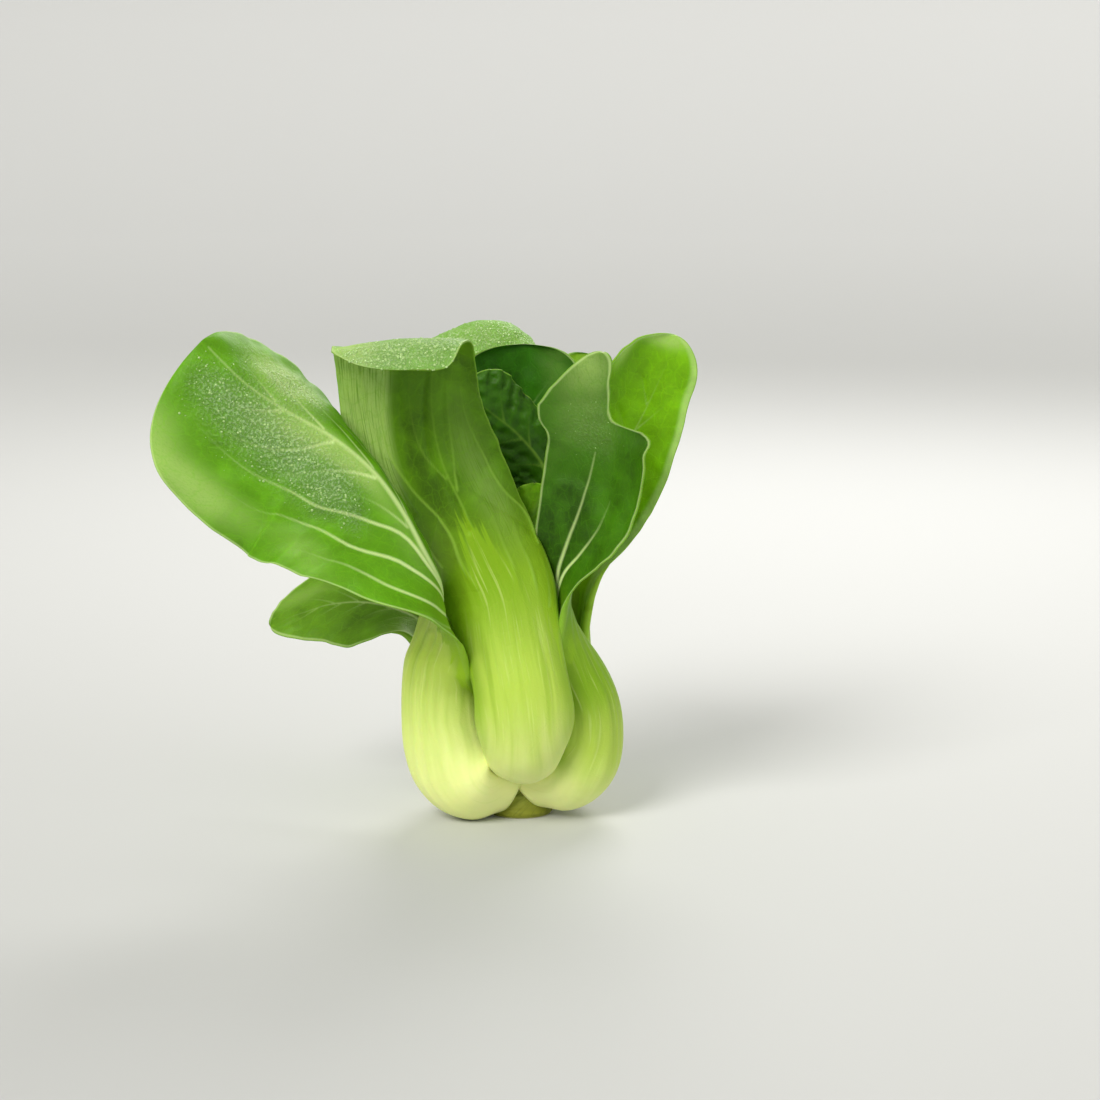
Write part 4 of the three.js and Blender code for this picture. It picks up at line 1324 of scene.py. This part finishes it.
# %% Shape of the butt
BUTT_PROFILE = [(0.3, 0), (10.5, 0), (11.5, 1.2), (10.9, 4), (8, 12), (5, 20), (2.5, 25), (0.3, 25.6)]
BUTT_ROWS, BUTT_AROUND = 110, 96
SCARS = ((2.4, 0.4), (4.6, 2.0), (7.2, 3.7))  # height of each in mm, and how far it is turned
SCAR_HEIGHT, SCAR_WIDTH, SCAR_RISE = 0.3, 0.35, 0.7
FIBRES = ((0.08, 31, 2), (0.05, 53, 0))  # height, number round the butt, and how far they wander
SKIN_INSET = 0.25  # how far the skin between scars and fibres lies inside the profile

profile = np.array(BUTT_PROFILE)
travelled = np.concatenate([[0], np.cumsum(np.hypot(*np.diff(profile, axis=0).T))])
rows_at = np.linspace(0, travelled[-1], BUTT_ROWS)
radius, height = (np.interp(rows_at, travelled, profile[:, k])[:, None] for k in (0, 1))
angle = np.linspace(0, 2 * math.pi, BUTT_AROUND, endpoint=False)[None, :]
scars = 0
for level, turn in SCARS:
    scars = scars + np.exp(-(((height - level - SCAR_RISE * np.sin(2 * angle + turn)) / SCAR_WIDTH) ** 2))
fibres = sum(size * np.sin(count * angle + wander * np.sin(height / 3)) for size, count, wander in FIBRES)
radius_now = radius + ease(height / 1.2) * (SCAR_HEIGHT * scars + fibres - SKIN_INSET)
rings = np.stack([radius_now * np.cos(angle), radius_now * np.sin(angle), height + 0 * angle], -1)
place = np.stack([angle * radius + 0 * height, height + 0 * angle, radius_now], -1)
last = (BUTT_ROWS - 1) * BUTT_AROUND
butt_caps = [list(range(BUTT_AROUND))[::-1], list(range(last, last + BUTT_AROUND))]
butt_mesh = build_mesh("butt", rings, {"place": place}, butt_caps)
print("butt:", len(butt_mesh.polygons), "faces")

# %% Skin of the butt
BUTT_LOW = (0.23, 0.25, 0.025)
BUTT_HIGH = (0.44, 0.52, 0.085)
BUTT_FIBRE = (0.10, 0.12, 0.012)
CUT_PALE = (0.55, 0.56, 0.30)
CUT_DARK = (0.36, 0.36, 0.16)

paint = Paint("butt_skin")
round_it, up, outwards = paint.parts("place")
fibre = paint.noise(paint.vector(round_it * 1.6, up * 0.2, 3), 1.0, 3)
butt_skin = paint.mix(BUTT_LOW, BUTT_HIGH, up.between(2, 12))
butt_skin = paint.mix(butt_skin, BUTT_FIBRE, fibre.between(0.5, 0.7) * 0.5)
cut = paint.mix(CUT_PALE, CUT_DARK, paint.noise(paint.vector(outwards * 2, 0, 0), 1.0, 2))
butt_skin = paint.mix(cut, butt_skin, up.between(0.0, 0.6))
butt_mesh.materials.append(paint.finish(Base_Color=butt_skin, Roughness=0.6, Specular_IOR_Level=0.2))
pieces["butt"] = place_piece("butt", butt_mesh, "butt")
print("butt material:", butt_mesh.materials[0].name)

# %% [markdown]
# ## Dew
# The head has just been rinsed. Drops sit where a blade lies open to the sky: on the left leaf, on the tip
# that folds down in front, on the hump behind, and a few on the right leaf. A drop is a squashed ball that
# sits halfway in the leaf, so that a low dome stands out. Geometry Nodes scatters them: points fall on the
# leaf's faces, more where its wet attribute is high, and each point carries a ball of its own size. Most are
# tiny and a few are large, so the size is a random number raised to a power.

# %% How much dew, and how large
DEW = {
    # leaf: drops per square centimetre where it is wettest, radius of the smallest and the largest in mm
    "leaf_left": (90, 0.12, 0.5),
    "leaf_front": (300, 0.14, 0.65),
    "leaf_back": (240, 0.13, 0.6),
    "leaf_right": (60, 0.11, 0.35),
}
PER_SQUARE_METRE = 1e4  # square centimetres
FIRST_SEED = 3
WATER = (0.46, 0.70, 0.26, 1)  # green, because the leaf shines through a drop
RARITY = 5.0  # power that keeps large drops rare
DROP_SEGMENTS, DROP_RINGS = 7, 4
DROP_HEIGHT = 0.55  # of a drop, as a share of its width
print("dew on:", ", ".join(DEW))


# %% Dew tree
DEW_INPUTS = {"Density": "Float", "Smallest": "Float", "Largest": "Float", "Seed": "Int", "Skin": "Material"}


def add_node(tree, kind, settings=None, **inputs):
    """Adds a Geometry node. Its inputs are given by name, with _ for a blank, as sockets or values."""
    node = tree.nodes.new(kind)
    for key, value in (settings or {}).items():
        setattr(node, key, value)
    for key, value in inputs.items():
        labels = (key, key.replace("_", " "))
        socket = next(s for s in node.inputs if s.enabled and (s.identifier in labels or s.name in labels))
        if isinstance(value, bpy.types.NodeSocket):
            tree.links.new(value, socket)
        else:
            socket.default_value = value
    return node


def dew_tree():
    """Scatters drops over a mesh by its wet attribute, and keeps only the drops."""
    tree = bpy.data.node_groups.new("dew", "GeometryNodeTree")
    tree.interface.new_socket("Geometry", in_out="INPUT", socket_type="NodeSocketGeometry")
    for label, kind in DEW_INPUTS.items():
        tree.interface.new_socket(label, in_out="INPUT", socket_type="NodeSocket" + kind)
    tree.interface.new_socket("Geometry", in_out="OUTPUT", socket_type="NodeSocketGeometry")

    def add(kind, settings=None, **inputs):
        return add_node(tree, kind, settings, **inputs)

    given = add("NodeGroupInput").outputs
    wet = add("GeometryNodeInputNamedAttribute", {"data_type": "FLOAT"}, Name="wet").outputs[0]
    spread = add("ShaderNodeMath", {"operation": "MULTIPLY"}, Value=wet, Value_001=given["Density"])
    scatter = add(
        "GeometryNodeDistributePointsOnFaces",
        Mesh=given["Geometry"], Density=spread.outputs[0], Seed=given["Seed"],
    )
    chance = add("FunctionNodeRandomValue", {"data_type": "FLOAT"}, Seed=given["Seed"]).outputs[1]
    rare = add("ShaderNodeMath", {"operation": "POWER"}, Value=chance, Value_001=RARITY).outputs[0]
    size = add("ShaderNodeMapRange", Value=rare, To_Min=given["Smallest"], To_Max=given["Largest"])
    ball = add("GeometryNodeMeshUVSphere", Segments=DROP_SEGMENTS, Rings=DROP_RINGS, Radius=1.0)
    squash = add("GeometryNodeTransform", Geometry=ball.outputs[0], Scale=(1.0, 1.0, DROP_HEIGHT))
    drops = add(
        "GeometryNodeInstanceOnPoints",
        Points=scatter.outputs["Points"], Instance=squash.outputs[0],
        Rotation=scatter.outputs["Rotation"], Scale=size.outputs[0],
    )
    real = add("GeometryNodeRealizeInstances", Geometry=drops.outputs[0])
    smooth = add("GeometryNodeSetShadeSmooth", Geometry=real.outputs[0])
    skin = add("GeometryNodeSetMaterial", Geometry=smooth.outputs[0], Material=given["Skin"])
    add("NodeGroupOutput", Geometry=skin.outputs[0])
    return tree


tree = dew_tree()
print("dew tree:", len(tree.nodes), "nodes")


# %% The drops
def scattered(carrier_mesh, tree, wanted):
    """The drops that the tree scatters over a mesh, as a mesh of their own."""
    carrier = bpy.data.objects.new("carrier", carrier_mesh)
    bpy.context.scene.collection.objects.link(carrier)
    modifier = carrier.modifiers.new("dew", "NODES")
    modifier.node_group = tree
    for item in tree.interface.items_tree:
        if item.in_out == "INPUT" and item.name in wanted:
            modifier[item.identifier] = wanted[item.name]
    graph = bpy.context.evaluated_depsgraph_get()
    drops = bpy.data.meshes.new_from_object(carrier.evaluated_get(graph))
    carrier.modifiers.remove(modifier)
    bpy.data.objects.remove(carrier)
    return drops


water_skin = Paint("dew").finish(
    Base_Color=WATER, Roughness=0.15, Specular_IOR_Level=0.6, Transmission_Weight=0.2,
)
for seed, (leaf_name, (density, smallest, largest)) in enumerate(DEW.items(), FIRST_SEED):
    drops_mesh = scattered(pieces[leaf_name].data, tree, {
        "Density": density * PER_SQUARE_METRE, "Smallest": smallest * MM, "Largest": largest * MM,
        "Seed": seed, "Skin": water_skin,
    })
    drops_mesh.name = leaf_name.replace("leaf", "dew")
    place_piece(drops_mesh.name, drops_mesh)
    print(f"{drops_mesh.name}: {len(drops_mesh.polygons)} faces")

# %% [markdown]
# ## Floor
# A pale sheet lies under the head and curves up far away from it, as a backdrop in a studio does, so that
# the view never ends in the sheet's rim. It is turned from a profile, like the butt, and is marked as stage,
# because it is no part of the plant.

# %% Floor
FLOOR_PROFILE = [(0.6, 0), (1.6, 0), (2.1, 0.06), (2.5, 0.28), (2.75, 0.7), (2.85, 1.3)]  # metres
FLOOR_COLOUR = (0.58, 0.59, 0.63, 1)
TURNS = 64
floor_points = [(0, 0, 0)]
for radius, height in FLOOR_PROFILE:
    for k in range(TURNS):
        angle = 2 * math.pi * k / TURNS
        floor_points.append((radius * math.cos(angle), radius * math.sin(angle), height))
floor_faces = [(0, 1 + k, 1 + (k + 1) % TURNS) for k in range(TURNS)]
for ring in range(len(FLOOR_PROFILE) - 1):
    for k in range(TURNS):
        a, b = 1 + ring * TURNS + k, 1 + ring * TURNS + (k + 1) % TURNS
        floor_faces.append((a, a + TURNS, b + TURNS, b))
floor_mesh = bpy.data.meshes.new("floor")
floor_mesh.from_pydata(floor_points, [], floor_faces)
floor_mesh.shade_smooth()
floor_mesh.materials.append(Paint("floor").finish(Base_Color=FLOOR_COLOUR, Roughness=0.7))
floor = bpy.data.objects.new("floor", floor_mesh)
bpy.context.scene.collection.objects.link(floor)
floor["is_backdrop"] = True
print("floor:", len(floor_faces), "faces")

# %% [markdown]
# ## Sizes
# The dressed head may be larger than the imported one by the height of a vein or a drop, and no more. The two
# boxes are printed one above the other, so that a leaf that has strayed shows at once.

# %% Sizes
visual_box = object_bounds()
for label, (low, high) in (("cad", cad_box), ("visual", visual_box)):
    print(label, [round(v / MM, 1) for v in low], [round(v / MM, 1) for v in high])
